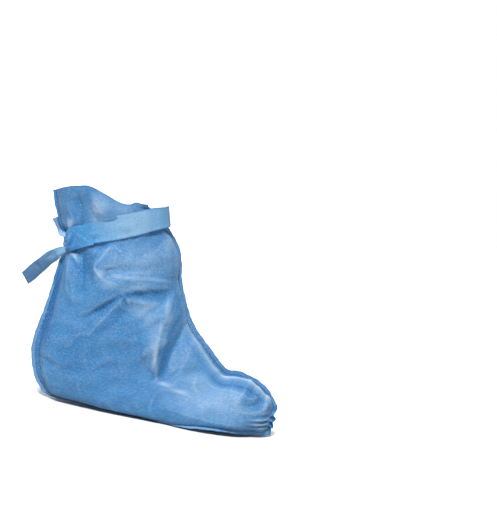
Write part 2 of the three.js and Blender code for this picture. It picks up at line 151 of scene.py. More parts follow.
def loopPoint(section, turn, side):
    c, s = np.cos(turn), np.sin(turn)
    power = np.where(c > 0, section[..., roundFront], section[..., roundBack])
    k = (np.abs(c) ** power + np.abs(s) ** power) ** (-1 / power)
    reach = np.where(c > 0, section[..., widest], 1 - section[..., widest])
    along = section[..., widest] - reach * c * k
    x = section[..., frontX] + (section[..., backX] - section[..., frontX]) * along
    z = section[..., frontZ] + (section[..., backZ] - section[..., frontZ]) * along
    return np.stack([x, side * section[..., halfWidth] * s * k, onFloor(x, z)], -1)


def seamTurn(section, isBack):
    swing = section[..., swingBack if isBack else swingFront]
    turn = np.arcsin(np.clip(swing / section[..., halfWidth], 0, 0.98))
    return math.pi - turn if isBack else turn


def unit(vectors):
    return vectors / np.maximum(np.linalg.norm(vectors, axis=-1, keepdims=True), 1e-12)


def lengthAlong(line):
    return np.concatenate([[0], np.cumsum(np.linalg.norm(np.diff(line, axis=0), axis=1))])


# the way a seam's allowance stands out, and how much longer the way across it is
def seamAt(at, isBack):
    step = 0.05  # in sections, and in radians round them
    at = np.clip(np.asarray(at, float), step, lastSection - step)

    def seamPoint(place):
        section = between(sections, place)
        return loopPoint(section, seamTurn(section, isBack), near)

    line = unit(seamPoint(at + step) - seamPoint(at - step))
    section = between(sections, at)
    turn = seamTurn(section, isBack)
    across = unit(loopPoint(section, turn + step, near) - loopPoint(section, turn - step, near))
    out = np.cross(across, line)
    press = 0 * at
    if not isBack:
        press = seam["press"] * smoothStep(section[..., swingFront] / seam["pressFrom"])
    slant = 1 / np.linalg.norm(out, axis=-1) / np.cos(press)
    middle = (loopPoint(section, 0 * turn, near) + loopPoint(section, 0 * turn + math.pi, near)) / 2
    outward = np.sum(out * (loopPoint(section, turn, near) - middle), -1)
    faces = np.where(outward < 0, -1, 1)
    out = unit(out) * (faces * np.cos(press))[..., None] - across * np.sin(press)[..., None]
    return out, slant


fineSteps = 160  # steps round one side of a section


def measuredRun(section, first, last, side):
    turns = np.linspace(first, last, fineSteps + 1)
    points = loopPoint(section[None, :], turns, side)
    return points, lengthAlong(points)


def alongRun(points, lengths, where):
    return np.stack([np.interp(where, lengths, points[:, i]) for i in range(3)], -1)


# the panel without its folds at every section and share, and its distance from both seams
def panelLattice(side, ats, shares):
    frontOut, frontSlant = seamAt(ats, False)
    backOut, backSlant = seamAt(ats, True)
    points, fromFront, fromBack = [], [], []
    for i, at in enumerate(ats):
        section = between(sections, at)
        first = -side * float(seamTurn(section, False))
        backTurn = float(seamTurn(section, True))
        last = backTurn if side < 0 else 2 * math.pi - backTurn
        run, lengths = measuredRun(section, first, last, side)
        start = cloth["plyOffset"] * frontSlant[i]
        end = lengths[-1] - cloth["plyOffset"] * backSlant[i]
        gone = start + (end - start) * shares
        left = lengths[-1] - gone
        row = alongRun(run, lengths, gone)
        row += frontOut[i] * (seam["peak"] * np.exp(-gone / seam["reach"]))[:, None]
        row += backOut[i] * (seam["peak"] * np.exp(-left / seam["reach"]))[:, None]
        points.append(row)
        fromFront.append(gone)
        fromBack.append(left)
    return np.array(points), np.array(fromFront), np.array(fromBack)


# Each fold is a line of (x, z, rise, left, right) in the side view: how far it lifts the cloth, and how
# wide its two flanks are on the left and the right of the way along it.
nearFolds = {
    "valley across the ankle": [
        (-30, 104, 0, 12, 20), (-13, 122, -2, 5, 24), (9, 141, -2.2, 6, 28), (29, 153, -1.8, 6, 28),
        (51, 159.5, -1.2, 6, 26), (68, 163.5, -0.8, 5, 20), (80, 168, 0, 6, 8)],
    "ridge above the valley": [
        (-33, 114, 0, 18, 10), (-17, 126, 2.2, 24, 6), (5, 144.5, 2.4, 26, 6), (26, 156.5, 2.3, 26, 6),
        (50, 163.5, 2, 20, 6), (70, 168, 1.6, 14, 6), (82, 171, 0, 8, 6)],
    "swell under the valley": [
        (-4, 96, 0, 26, 30), (20, 98, 3, 30, 34), (46, 98, 4, 34, 34), (66, 92, 3, 30, 26),
        (76, 84, 0, 16, 16)],
    "edge of the ankle facet": [
        (-5, 214, 0, 18, 8), (-8, 206, 3, 22, 8), (-14, 192, 5, 24, 9), (-20, 179, 5, 22, 8),
        (-8, 167, 3.4, 9, 15), (6, 164, 2, 7, 16), (24, 164, 0, 6, 12)],
    "fine line towards the shin": [
        (-2, 172, 0, 4, 12), (12, 173, 1.6, 4, 18), (37, 175.5, 1.6, 4, 20), (62, 177, 1.4, 4, 18),
        (82, 174, 0, 3, 10)],
    "line above it": [
        (4, 182, 0, 5, 4), (22, 184, -1.1, 7, 4), (40, 187, -0.8, 7, 4), (58, 188, 0, 5, 4)],
    "slanting ridge": [
        (24, 154, 0, 8, 7), (19, 146, 3, 12, 6), (1, 118, 3.6, 13, 7), (-10, 100, 2.2, 11, 7),
        (-16, 90, 0, 8, 8)],
    "short tuck": [(21, 150, 0, 3, 4), (24, 144, -1.8, 3, 7), (30, 134, 0, 3, 5)],
    "facet of the ankle": [
        (22, 152, 0, 5, 8), (26, 147, 2.6, 6, 16), (48, 146, 2.6, 5, 22), (68, 147, 2.2, 5, 20),
        (80, 150, 0, 5, 8)],
    "ridge in front of the ankle": [
        (82, 168, 0, 12, 8), (79, 152, 4, 22, 8), (77, 138, 6, 28, 14), (74, 124, 6.4, 29, 24),
        (72, 107, 6.8, 26, 24), (72.5, 88, 7, 22, 19.5), (75, 72, 6.2, 17, 13), (79, 59, 3, 11, 6),
        (83, 50, 0, 6, 6)],
    "lower edge of the facet": [
        (76, 139, 0, 4, 10), (64, 130, 1.3, 6, 16), (50, 119, 1.4, 8, 18), (36, 109, 0.8, 8, 14),
        (28, 103, 0, 6, 10)],
    "wide slope behind it": [
        (70, 146, 0, 28, 22), (70, 112, 2, 28, 30), (71, 80, 2.2, 16, 30), (77, 56, 0, 6, 18)],
    "valley up to the shin seam": [
        (81, 48, 0, 5, 12), (85.5, 60, -2.8, 7, 16), (94, 88, -4, 14, 20), (103, 118, -3.4, 18, 16),
        (109, 133, 0, 14, 10)],
    "ridge towards the sole": [
        (78, 55, 0, 4, 12), (84, 51, 2.4, 5, 18), (100, 44, 2.8, 5, 24), (120, 39, 2.2, 6, 24),
        (142, 34, 0, 6, 16)],
    "facet of the toe": [
        (205, 73, 0, 9, 14), (198, 61, 3.2, 8, 18), (190, 47, 3.4, 8, 18), (184, 34, 0, 10, 14)],
    "hollow of the toe": [
        (186, 40, 0, 8, 8), (200, 39, -2, 7, 9), (214, 42, -2.4, 7, 9), (228, 46, 0, 7, 8)],
    "low swell of the forefoot": [
        (84, 20, 0, 14, 12), (110, 17, 3, 22, 14), (150, 14, 3.4, 26, 12), (190, 12, 2.6, 22, 10),
        (214, 12, 0, 14, 8)],
    "tuck at the heel": [
        (-74, 54, 0, 6, 10), (-66, 50, -2.2, 7, 12), (-52, 45, -2, 7, 12), (-38, 41, 0, 6, 10)],
    "gather in front of the knot": [
        (-42, 202, 0, 14, 12), (-39, 186, -4.6, 16, 15), (-35, 167, -4.6, 16, 15),
        (-30, 150, -2.6, 16, 14), (-24, 128, 0, 14, 12)],
    "gather under the knot": [
        (-55, 193, 0, 8, 8), (-53, 172, 4, 10, 10), (-51, 150, 3, 11, 10), (-46, 126, 0, 12, 11)],
    "bright tuck under the knot": [
        (-58, 193, 0, 4, 4), (-51, 188, 2.4, 5, 4), (-45, 182, 2.6, 5, 4), (-43, 174, 0, 5, 4)],
    "hollow under the tie": [
        (-36, 203, 0, 6, 6), (-25, 205, -2.6, 7, 7), (-9, 211, -2.2, 7, 6), (2, 215, 0, 6, 6)],
    "ridge beside the shin seam": [
        (50, 240, 0, 7, 14), (55, 234, 2, 7, 16), (62, 229, 3, 7, 16), (68, 220, 3, 7, 16),
        (73, 207, 2.6, 6, 14), (77, 194, 2, 6, 12), (81, 180, 0, 5, 9)],
    "bright tuck above the knot": [
        (-66, 234, 0, 4, 4), (-63, 227, 2.6, 5, 5), (-60, 219, 2.6, 5, 5), (-58, 212, 0, 4, 4)],
    "hollow of the upper shaft": [
        (-60, 270, 0, 14, 12), (-54, 254, -3.6, 17, 15), (-50, 240, -5, 18, 12), (-47, 228, -3, 14, 9),
        (-46, 220, 0, 9, 8)],
    "ridge of the upper shaft": [
        (-40, 274, 0, 14, 9), (-36, 263, 3, 18, 9), (-28, 252, 3.4, 20, 10), (-18, 244, 1.2, 14, 9),
        (-10, 239, 0, 10, 8)],
    "swell above the tie": [
        (-56, 224, 0, 16, 5), (-42, 230, 1.4, 24, 5), (-24, 238, 2, 26, 5), (7, 250.5, 1.8, 18, 5),
        (28, 260, 0, 10, 5)],
    "hollow where the knot presses": [
        (-86, 207, 0, 16, 14), (-68, 205, -5, 18, 14), (-54, 204, -4, 16, 12), (-38, 205, 0, 10, 10)],
}
farFolds = {
    "valley across the ankle": [
        (-34, 116, 0, 16, 20), (-18, 131, -5, 15, 22), (4, 146, -8, 12, 22), (30, 158, -8, 10, 22),
        (54, 164, -5, 9, 18), (72, 170, 0, 8, 12)],
    "ridge above the valley": [
        (-36, 134, 0, 18, 14), (-14, 148, 4, 20, 13), (10, 160, 5, 20, 11), (36, 170, 5.5, 18, 10),
        (60, 175, 4, 14, 8), (76, 177, 0, 8, 7)],
    "edge of the ankle facet": [
        (4, 216, 0, 16, 10), (-4, 200, 2.5, 18, 11), (-12, 184, 3.5, 18, 11), (-4, 170, 2.5, 12, 9),
        (14, 164, 0, 9, 8)],
    "ridge in front of the ankle": [
        (82, 150, 0, 12, 14), (77, 134, 4.5, 13, 18), (74, 100, 6, 14, 20), (78, 70, 5, 12, 18),
        (85, 52, 0, 8, 10)],
    "valley up to the shin seam": [
        (84, 50, 0, 10, 14), (88, 62, -4, 11, 16), (98, 95, -6, 12, 18), (106, 120, -4, 9, 14),
        (110, 128, 0, 7, 9)],
    "ridge towards the sole": [
        (82, 52, 0, 14, 14), (92, 47, 3, 16, 18), (116, 42, 3, 16, 18), (146, 38, 0, 14, 16)],
    "slanting ridge": [(16, 150, 0, 8, 7), (8, 136, 2, 9, 8), (-6, 112, 2.6, 10, 9), (-20, 92, 0, 9, 8)],
    "long soft fold": [
        (36, 140, 0, 14, 12), (24, 112, 3, 18, 14), (14, 84, 3.5, 20, 16), (10, 52, 0, 18, 16)],
    "facet of the toe": [
        (196, 72, 0, 9, 14), (190, 58, 2.4, 10, 16), (188, 42, 2, 10, 14), (186, 30, 0, 9, 12)],
    "hollow beside the heel seam": [
        (-66, 150, 0, 13, 7), (-70, 118, -3.5, 14, 8), (-73, 92, -5, 15, 8), (-72, 66, -4.5, 14, 8),
        (-66, 48, 0, 10, 8)],
    "tuck at the heel": [
        (-72, 58, 0, 6, 9), (-62, 53, -2, 7, 11), (-46, 50, -1.6, 7, 11), (-34, 47, 0, 6, 9)],
    "gather in front of the back seam": [
        (-46, 200, 0, 9, 9), (-42, 182, -4.5, 11, 10), (-37, 162, -5, 12, 11),
        (-32, 142, -2.5, 12, 11), (-28, 126, 0, 11, 10)],
    "gather beside it": [
        (-58, 196, 0, 8, 8), (-56, 174, 3.5, 9, 9), (-54, 150, 2.5, 10, 10), (-50, 128, 0, 11, 10)],
    "gather under the tie": [(14, 214, 0, 9, 9), (10, 200, -3, 10, 10), (4, 186, 0, 9, 9)],
    "second gather under the tie": [(44, 222, 0, 8, 9), (48, 206, -2.6, 9, 10), (56, 190, 0, 8, 9)],
    "ridge beside the shin seam": [
        (52, 238, 0, 7, 12), (60, 229, 2.6, 7, 14), (69, 215, 2.8, 7, 14), (76, 196, 2, 6, 12),
        (81, 180, 0, 5, 9)],
    "fold of the upper shaft": [
        (-28, 256, 0, 12, 12), (-22, 244, -4, 13, 13), (-18, 230, -3.5, 12, 12), (-16, 218, 0, 11, 11)],
    "second fold of the upper shaft": [
        (8, 254, 0, 11, 12), (12, 244, -2.5, 12, 12), (12, 230, 0, 10, 11)],
    "ridge of the upper shaft": [
        (-52, 262, 0, 10, 10), (-50, 248, 3, 12, 12), (-46, 232, 2.4, 12, 11), (-44, 218, 0, 10, 10)],
}


# painted light (above 0) and painted shade (below 0) on the cloth: middle, half sizes, amount
nearPaintedLight = [
    (67, 88, 7, 24, 0.16), (62, 118, 16, 12, 0.1), (45, 138, 18, 10, 0.26), (118, 64, 24, 20, 0.06),
    (150, 36, 40, 20, 0.2), (190, 42, 26, 20, 0.14), (-28, 58, 14, 20, -0.15), (187, 66, 14, 6, -0.15),
    (40, 198, 50, 22, 0.15), (-30, 254, 12, 14, 0.3), (0, 176, 26, 18, 0.08), (88, 112, 7, 24, -0.25),
    (84, 78, 6, 18, -0.5), (94, 84, 4, 14, 0.18), (103, 112, 4, 14, 0.16), (202, 46, 9, 8, -0.25),
    (-33, 178, 9, 24, -0.8), (77, 146, 2, 11, 0.35), (73.5, 120, 2.2, 12, 0.25),
    (72, 97, 2.4, 12, 0.15), (73.5, 80, 2.4, 14, 0.5), (110, 84, 16, 20, 0.06), (6, 172, 9, 2, 0.12),
    (28, 174.5, 14, 2, 0.12), (56, 176.5, 16, 2, 0.12), (-14, 173, 5, 6, 0.3), (2, 161, 9, 4, 0.25),
    (20, 158, 9, 3, 0.15), (38, 164.5, 10, 3, 0.15), (44, 169, 9, 3, 0.2), (83, 130, 5, 13, 0.3),
    (81, 103, 5, 13, 0.25), (64, 143, 12, 4, 0.12), (8, 140, 8, 4, -0.5), (22, 149.5, 9, 4, -0.6),
    (40, 157, 10, 4, -0.7), (60, 161.5, 9, 4, -0.6), (-66, 84, 9, 13, -0.5), (-70, 118, 7, 26, -0.5),
    (92, 48, 9, 2.4, 0.35), (112, 42, 12, 2.4, 0.3), (-24, 64, 34, 34, -0.2), (2, 128, 18, 16, -0.3),
    (26, 112, 16, 16, -0.15), (-72, 95, 7, 44, -0.5), (-66, 140, 5, 30, -0.35), (187, 72, 12, 6, -0.3),
    (64, 224, 6, 12, 0.25), (-50, 234, 9, 14, -0.2), (-61, 226, 4, 9, 0.4), (-50, 187, 5, 5, 0.3),
    (-18, 209, 12, 5, -0.3), (-68, 140, 5, 40, -0.3), (0, 258, 22, 10, 0.18), (32, 162, 12, 3.5, 0.2),
    (36, 184, 14, 5, 0.12), (-34, 62, 12, 16, -0.12), (30, 116, 9, 7, -0.2), (80, 100, 3.5, 9, 0.2),
    (-50, 168, 8, 14, -0.25), (-28, 232, 10, 8, 0.2), (140, 60, 20, 8, 0.1),
]
# painted light and painted shade on the far panel, in the same columns
farPaintedLight = [
    (74, 96, 7, 30, 0.22), (48, 140, 18, 12, 0.15), (130, 50, 40, 26, 0.12), (188, 44, 22, 18, 0.08),
    (-72, 95, 9, 46, -0.3), (96, 92, 7, 30, -0.2),
]


# the sum of painted light (above 0) and painted shade (below 0) at points of the side view
def paintedLightAt(paintedLightSpots, x, z):
    total = 0 * x
    for middleX, middleZ, sizeX, sizeZ, amount in paintedLightSpots:
        total += amount * np.exp(-((x - middleX) / sizeX) ** 2 - ((z - middleZ) / sizeZ) ** 2)
    return total


# how far one fold lifts the cloth at points of the side view
def foldLift(fold, x, z):
    rows = np.array(fold, float)
    line = between(rows, np.linspace(0, len(rows) - 1, (len(rows) - 1) * cloth["foldSteps"] + 1))
    lift = np.zeros_like(x)
    reach = max(line[:, 3].max(), line[:, 4].max())
    low, high = line[:, :2].min(0) - reach, line[:, :2].max(0) + reach
    close = np.flatnonzero((x > low[0]) & (x < high[0]) & (z > low[1]) & (z < high[1]))
    if not len(close):
        return lift
    start, way = line[:-1, :2], np.diff(line[:, :2], axis=0)
    offset = np.stack([x[close], z[close]], -1)[:, None] - start[None]
    t = np.clip((offset * way).sum(-1) / np.maximum((way ** 2).sum(-1), 1e-9), 0, 1)
    gap = offset - t[..., None] * way
    distance = np.linalg.norm(gap, axis=-1)
    best = distance.argmin(1)
    pick = np.arange(len(close)), best
    t, distance = t[pick], distance[pick]
    turn = way[best, 0] * gap[pick][:, 1] - way[best, 1] * gap[pick][:, 0]
    values = line[best] * (1 - t)[:, None] + line[best + 1] * t[:, None]
    width = np.where(turn > 0, values[:, 3], values[:, 4])
    rounded = np.sqrt(distance ** 2 + cloth["creaseRound"] ** 2) - cloth["creaseRound"]
    lift[close] = values[:, 2] * np.maximum(0, 1 - rounded / np.maximum(width, 1))
    return lift


def foldRelief(folds, x, z):
    shape = x.shape
    x, z = x.ravel(), z.ravel()
    return sum(foldLift(fold, x, z) for fold in folds.values()).reshape(shape)


crinkle = {
    "count": 210,  # small random creases on a panel
    "fromHeel": (-80, 235),
    "fromFloor": (-5, 275),
    "slant": (0.75, 0.7),  # usual angle of a crease, and how far it varies
    "crosswise": 0.3,  # share of the creases that run across the others
    "raised": 0.6,  # share that stand out
    "bow": 0.12,
    "length": (12, 48),
    "rise": (0.2, 0.75),
    "width": (2.5, 9),
    "wobble": 0.14,  # soft unevenness of the cloth
    "wobbleCount": 14,
    "wobbleLength": (18, 55),
}


# small creases and an uneven surface, the same in each run
def crinkles(random, x, z):
    folds = {}
    for number in range(crinkle["count"]):
        middleX, middleZ = random.uniform(*crinkle["fromHeel"]), random.uniform(*crinkle["fromFloor"])
        angle = random.normal(*crinkle["slant"])
        angle += math.pi / 2 if random.random() < crinkle["crosswise"] else 0
        length = random.uniform(*crinkle["length"])
        rise = random.uniform(*crinkle["rise"]) * (1 if random.random() < crinkle["raised"] else -1)
        bow = random.normal(0, crinkle["bow"]) * length
        widths = random.uniform(*crinkle["width"], 2)
        wayX, wayZ = math.cos(angle), math.sin(angle)
        folds[number] = [
            (middleX - wayX * length / 2, middleZ - wayZ * length / 2, 0, *widths),
            (middleX - wayZ * bow, middleZ + wayX * bow, rise, *widths),
            (middleX + wayX * length / 2, middleZ + wayZ * length / 2, 0, *widths)]
    lift = foldRelief(folds, x, z)
    for _ in range(crinkle["wobbleCount"]):
        angle, wave = random.uniform(0, math.pi), random.uniform(*crinkle["wobbleLength"])
        phase = random.uniform(0, 2 * math.pi)
        turns = (x * math.cos(angle) + z * math.sin(angle)) / wave
        lift += crinkle["wobble"] * np.sin(2 * math.pi * turns + phase)
    return lift


def gridNormals(points):
    down = np.gradient(points, axis=0)
    right = np.gradient(points, axis=1)
    return unit(np.cross(down, right))


def vertexNormals(points, faces):
    a, b, c, d = (points[faces[:, i]] for i in range(4))
    normal = np.cross(c - a, d - b)
    total = np.zeros_like(points)
    for i in range(4):
        np.add.at(total, faces[:, i], normal)
    return unit(total)


def quadsOf(ids):
    a, b, c, d = ids[:-1, :-1], ids[1:, :-1], ids[1:, 1:], ids[:-1, 1:]
    return np.stack([a.ravel(), b.ravel(), c.ravel(), d.ravel()], -1)


# the two faces of a ply and its raw edge, as one closed mesh
def wallOf(points, faces, thickness):
    normals = vertexNormals(points, faces)
    count = len(points)
    corners = np.concatenate([points + normals * thickness / 2, points - normals * thickness / 2])
    edges = np.concatenate([faces[:, [i, (i + 1) % 4]] for i in range(4)])
    forward = {(int(a), int(b)) for a, b in edges}
    border = [(a, b) for a, b in forward if (b, a) not in forward]
    rim = [(b, a, a + count, b + count) for a, b in sorted(border)]
    allFaces = np.concatenate([faces, faces[:, ::-1] + count, np.array(rim, int).reshape(-1, 4)])
    return corners, allFaces, np.array(sorted(border), int).reshape(-1, 2)


def makePiece(name, points, faces, material, attributes, sharp=()):
    mesh = bpy.data.meshes.new(name)
    mesh.vertices.add(len(points))
    mesh.vertices.foreach_set("co", (np.asarray(points, float) * metre).ravel())
    mesh.loops.add(faces.size)
    mesh.loops.foreach_set("vertex_index", faces.ravel())
    mesh.polygons.add(len(faces))
    mesh.polygons.foreach_set("loop_start", np.arange(len(faces)) * 4)
    mesh.update(calc_edges=True)
    mesh.validate()
    mesh.shade_smooth()
    for key, values in attributes.items():
        kind = "FLOAT_VECTOR" if values.ndim == 2 else "FLOAT"
        layer = mesh.attributes.new(key, kind, "POINT")
        layer.data.foreach_set("vector" if values.ndim == 2 else "value", values.astype(float).ravel())
    if len(sharp):  # the corners along a raw edge
        tips = np.empty(len(mesh.edges) * 2, int)
        mesh.edges.foreach_get("vertices", tips)
        tips = np.sort(tips.reshape(-1, 2), axis=1)
        wanted = np.sort(sharp, axis=1)
        size = len(points)
        marks = np.isin(tips[:, 0] * size + tips[:, 1], wanted[:, 0] * size + wanted[:, 1])
        layer = mesh.attributes.new("sharp_edge", "BOOLEAN", "EDGE")
        layer.data.foreach_set("value", marks)
    mesh.materials.append(material)
    piece = bpy.data.objects.new(name, mesh)
    bpy.context.scene.collection.objects.link(piece)
    return piece


# a ply of cloth round its middle surface, with the attributes of its points on both faces
def clothPiece(name, points, faces, material, attributes, thickness):
    corners, walls, border = wallOf(points, faces, thickness)
    both = {key: np.concatenate([values, values]) for key, values in attributes.items()}
    sharp = np.concatenate([border, border + len(points)])
    return makePiece(name, corners, walls, material, both, sharp)


panel = {
    "rows": 300,
    "columns": 150,
    "fineRows": 601,  # rows that the spacing is measured on
    "foldFade": 3.5,  # folds die out over this distance from a seam
    "crinkleFade": 5,
    "tipFade": 0.8,  # everything dies out over this share of a section before the toe seam
    "pucker": 0.32,  # height of the small waves that the stitches draw
    "puckerWave": 7.5,
    "puckerReach": 6,
    "puckerStart": 1.5,
    "puckerSway": 1.7, "swayLength": 19,  # their uneven pace
    "puckerSwell": 0.5, "swellLength": 13,  # and uneven height
    "crestGain": 1.8,  # how strongly a bend shows as a paler ridge, partly wear and partly a painted highlight, or as a valley of painted shade
    "crestFrom": 4, "crestOver": 8,  # it starts this far from a seam
    "seamShade": 1.3, "seamShadeReach": 2.2,  # painted shade in the groove where the two panels meet
}
allowance = {
    "rows": 4,  # rows of cells across it
    "wave": 0.55,  # how far its edges wander out of its plane
    "waveShares": (0.6, 0.4),
    "waveLengths": (14, 5.3),
    "waveGrowth": 1.5,  # all of them grow by such a power from the stitches to the raw edge
    "ragged": (0.22, 0.16),  # unevenness of the raw edge
    "raggedLengths": (3.1, 1.7),
    "apart": 0.12, "apartGrowth": 4,  # how far the plies part at the raw edge
    "pinch": 0.05,  # how far the stitches press them together
    # painted light on the front and back allowances, painted shade on the toe's
    "frontPaintedLight": 0.08,
    "toePaintedShade": -0.45,
    "backPaintedLight": 0.16,
    "backPaintedShade": 0.45, "deeperFrom": 130, "deeperOver": 50,  # painted shade that grows up the shaft
}
# the toe seam from its top (0) to the sole (1): how far the cloth leans sideways in its gathers, and how
# far the allowance stands out in lobes
toeGathers = np.array([
    [0, 0, 5], [0.2, 0.5, 5.8], [0.37, -1.7, 2.6], [0.5, 2.0, 7.4], [0.61, -1.8, 4.2], [0.72, 2.0, 8.4],
    [0.83, -1.7, 4.8], [0.91, 1.2, 8.4], [0.97, 0.4, 8.6], [1, 0, 8],
])
gather = {
    "reach": 36,  # how far the gathers run back from the toe seam
    "leanReach": 25.2,
    "curl": 0.5, "curlGrowth": 1.4,  # how much further the allowance leans at its edge
    "lift": 0.95,  # height of the pleats on the cloth
    "liftStart": 5,
    "topFade": 0.15, "soleFade": 0.06,
    "apart": 0.12,
}


def gatherLean(along):
    lean = lookUp(toeGathers, np.clip(along, 0, 1))[..., 1]
    return lean * smoothStep(along / gather["topFade"]) * smoothStep((1 - along) / gather["soleFade"])


# folds that run along a seam: section, distance from the seam, rise, width towards the seam and away from
# it, and the painted light (above 0) or painted shade (below 0) along the fold
frontSeamFolds = {
    "ridge": [
        (0, 10, 0, 8, 8, 0), (3, 10, 0.8, 8, 8, 0.05), (5, 9, 2.2, 7, 10, 0.15),
        (7, 8, 1.8, 6, 10, 0.1), (8.5, 9, 2, 7, 10, 0.2), (10, 13, 3.2, 9, 10, 0.25),
        (12.5, 14, 3.2, 9, 9, 0.25), (13.5, 14, 2.6, 9, 9, 0.2), (15, 15, 3.6, 10, 8, 0.4),
        (17.5, 15, 3.6, 10, 8, 0.4), (19, 11, 3, 8, 8, 0.4), (20, 8, 0, 6, 6, 0)],
    "hollow beyond it": [
        (12, 26, 0, 9, 9, 0), (13.5, 25, -2.6, 10, 12, -0.15), (15.5, 25, -3.6, 10, 14, -0.3),
        (17.5, 24, -3.2, 9, 13, -0.25), (18.6, 22, 0, 8, 10, 0)],
    "groove": [
        (0, 1, 0, 2, 3, -0.2), (6, 1, 0, 2, 3, -0.4), (9, 1.5, 0, 2, 4, -0.6),
        (14, 1.5, 0, 2, 4, -0.7), (19, 1.5, 0, 2, 4, -0.7), (20, 1.5, 0, 2, 4, -0.6)],
}
backSeamFolds = {
    "hollow": [
        (3.4, 10, 0, 8, 12, 0), (5, 10, -3, 8, 14, -0.3), (8, 10, -4.6, 8, 17, -0.55),
        (11, 9, -4.6, 7, 16, -0.5), (12.3, 9, 0, 7, 12, 0)],
    "groove": [
        (0, 2, 0, 2, 3, -0.2), (12, 2, 0, 2, 3, -0.3), (16, 2, 0, 2, 4, -0.5), (20, 2, 0, 2, 4, -0.5)],
}


def seamFold(fold, at, distance):
    rows = np.array(fold, float)
    row = lookUp(rows, np.clip(at, rows[0, 0], rows[-1, 0]))
    inside = (at > rows[0, 0]) & (at < rows[-1, 0])
    gap = distance - row[..., 1]
    share = np.abs(gap) / np.maximum(np.where(gap < 0, row[..., 3], row[..., 4]), 1)
    lift = row[..., 2] * np.maximum(0, 1 - share) * inside
    toneWidth = 2.2  # the painted light or shade keeps to the middle of the fold
    return lift, row[..., 5] * np.exp(-(share * toneWidth) ** 2) * inside


# section number of the raw top edge at each share
def topSection(shares, side):
    first, _, _ = panelLattice(side, np.array([0.0, 1.0]), shares)
    height = lookUp(topEdge, shares)[:, 1 if side < 0 else 2]
    return (first[0, :, 2] - height) / (first[0, :, 2] - first[1, :, 2])


# values of a lattice between its sections, for one section number per column in each row
def latticeAt(values, ats, at):
    place = (at - ats[0]) / (ats[1] - ats[0])
    i = np.clip(np.floor(place).astype(int), 0, len(ats) - 2)
    t = place - i
    columns = np.broadcast_to(np.arange(values.shape[1]), at.shape)
    if values.ndim == 3:
        t = t[..., None]
    return values[i, columns] * (1 - t) + values[i + 1, columns] * t


# section numbers of the panel's rows, from the raw top edge to the toe seam
def rowSections(lattice, ats, starts):
    steps = np.linalg.norm(np.diff(lattice, axis=0), axis=2)
    spacing = (steps.mean(1) + steps.max(1)) / 2  # keeps the cells even where sections fan out
    run = np.concatenate([[0], np.cumsum(spacing)])
    start = np.interp(starts.mean(), ats, run)
    middle = np.interp(np.linspace(start, run[-1], panel["rows"] + 1), run, ats)
    gone = (middle - middle[0]) / (lastSection - middle[0])
    return starts[None] + (lastSection - starts[None]) * gone[:, None]


# small waves that the stitches of a seam draw into the cloth beside it
def puckers(random, line, distance):
    length = lengthAlong(line)
    paceStart, heightStart, _ = random.uniform(0, 6, 3)
    phase = 2 * math.pi * length / panel["puckerWave"]
    phase += panel["puckerSway"] * np.sin(length / panel["swayLength"] + paceStart)
    swell = panel["puckerSwell"] * np.sin(length / panel["swellLength"] + heightStart)
    size = panel["pucker"] * (1 + swell)
    bySeam = np.exp(-distance / panel["puckerReach"]) * smoothStep(distance / panel["puckerStart"])
    return (size * np.sin(phase))[:, None] * bySeam


# pleats of the gathered toe seam: how far they lift the cloth, and how far they lean it sideways
def toePleats(x, z):
    top = sections[lastSection, frontZ]
    lean = gatherLean((top - z) / (top - sections[lastSection, backZ]))
    toToe = np.abs(sections[lastSection, frontX] - x)
    pull = smoothStep(1 - toToe / gather["reach"]) * smoothStep(toToe / gather["liftStart"])
    return gather["lift"] * lean * pull, lean * smoothStep(1 - toToe / gather["leanReach"]) ** 2


def panelSurface(side, folds, seed):
    random = np.random.default_rng(seed)
    shares = np.linspace(0, 1, panel["columns"] + 1)
    starts = topSection(shares, side)
    ats = np.linspace(min(0, starts.min()) - 0.01, lastSection, panel["fineRows"])
    lattice, fromFront, fromBack = panelLattice(side, ats, shares)
    at = rowSections(lattice, ats, starts)
    body = latticeAt(lattice, ats, at)
    front, back = latticeAt(fromFront, ats, at), latticeAt(fromBack, ats, at)
    fromSeam = np.minimum(front, back)
    x, z = body[..., 0], body[..., 2]
    normals = gridNormals(body) * side
    toTip = smoothStep((lastSection - at) / panel["tipFade"])
    relief = foldRelief(folds, x, z) * smoothStep(fromSeam / panel["foldFade"]) * toTip
    relief += crinkles(random, x, z) * smoothStep(fromSeam / panel["crinkleFade"]) * toTip
    relief += puckers(random, body[:, 0], front) * toTip
    relief += puckers(random, body[:, -1], back) * toTip
    toneAndPaintedLight = 0 * relief
    for seamFolds, distance in ((frontSeamFolds, front), (backSeamFolds, back)):
        for fold in seamFolds.values():
            lift, shade = seamFold(fold, at, distance)
            relief += lift * toTip
            toneAndPaintedLight += shade
    pleats, lean = toePleats(x, z)
    surface = body + normals * (relief - side * pleats)[..., None]
    surface[..., 1] += lean
    return at, surface, fromSeam, toneAndPaintedLight


def waves(along, sizes, lengths, phases):
    each = zip(sizes, lengths, phases)
    return sum(size * np.sin(along / length + phase) for size, length, phase in each)


# the allowance outside a stitch line, as rows of points from the line to the raw edge
def allowanceRows(base, out, width, away, side, seed):
    length = lengthAlong(base)
    phases = np.random.default_rng(seed).uniform(0, 6, 4)
    drift = waves(length, allowance["waveShares"], allowance["waveLengths"], phases[:2])
    ragged = waves(length, allowance["ragged"], allowance["raggedLengths"], phases[2:])
    rows = []
    for i in range(1, allowance["rows"] + 1):
        share = i / allowance["rows"]
        reach = width * share + ragged * share
        lean = side * allowance["wave"] * drift * share ** allowance["waveGrowth"]  # plies sway together
        lean += allowance["apart"] * share ** allowance["apartGrowth"]
        lean -= allowance["pinch"] * math.sqrt(max(0.0, math.sin(math.pi * share)))
        rows.append(base + out * reach[:, None] + away * lean[:, None])
    return rows


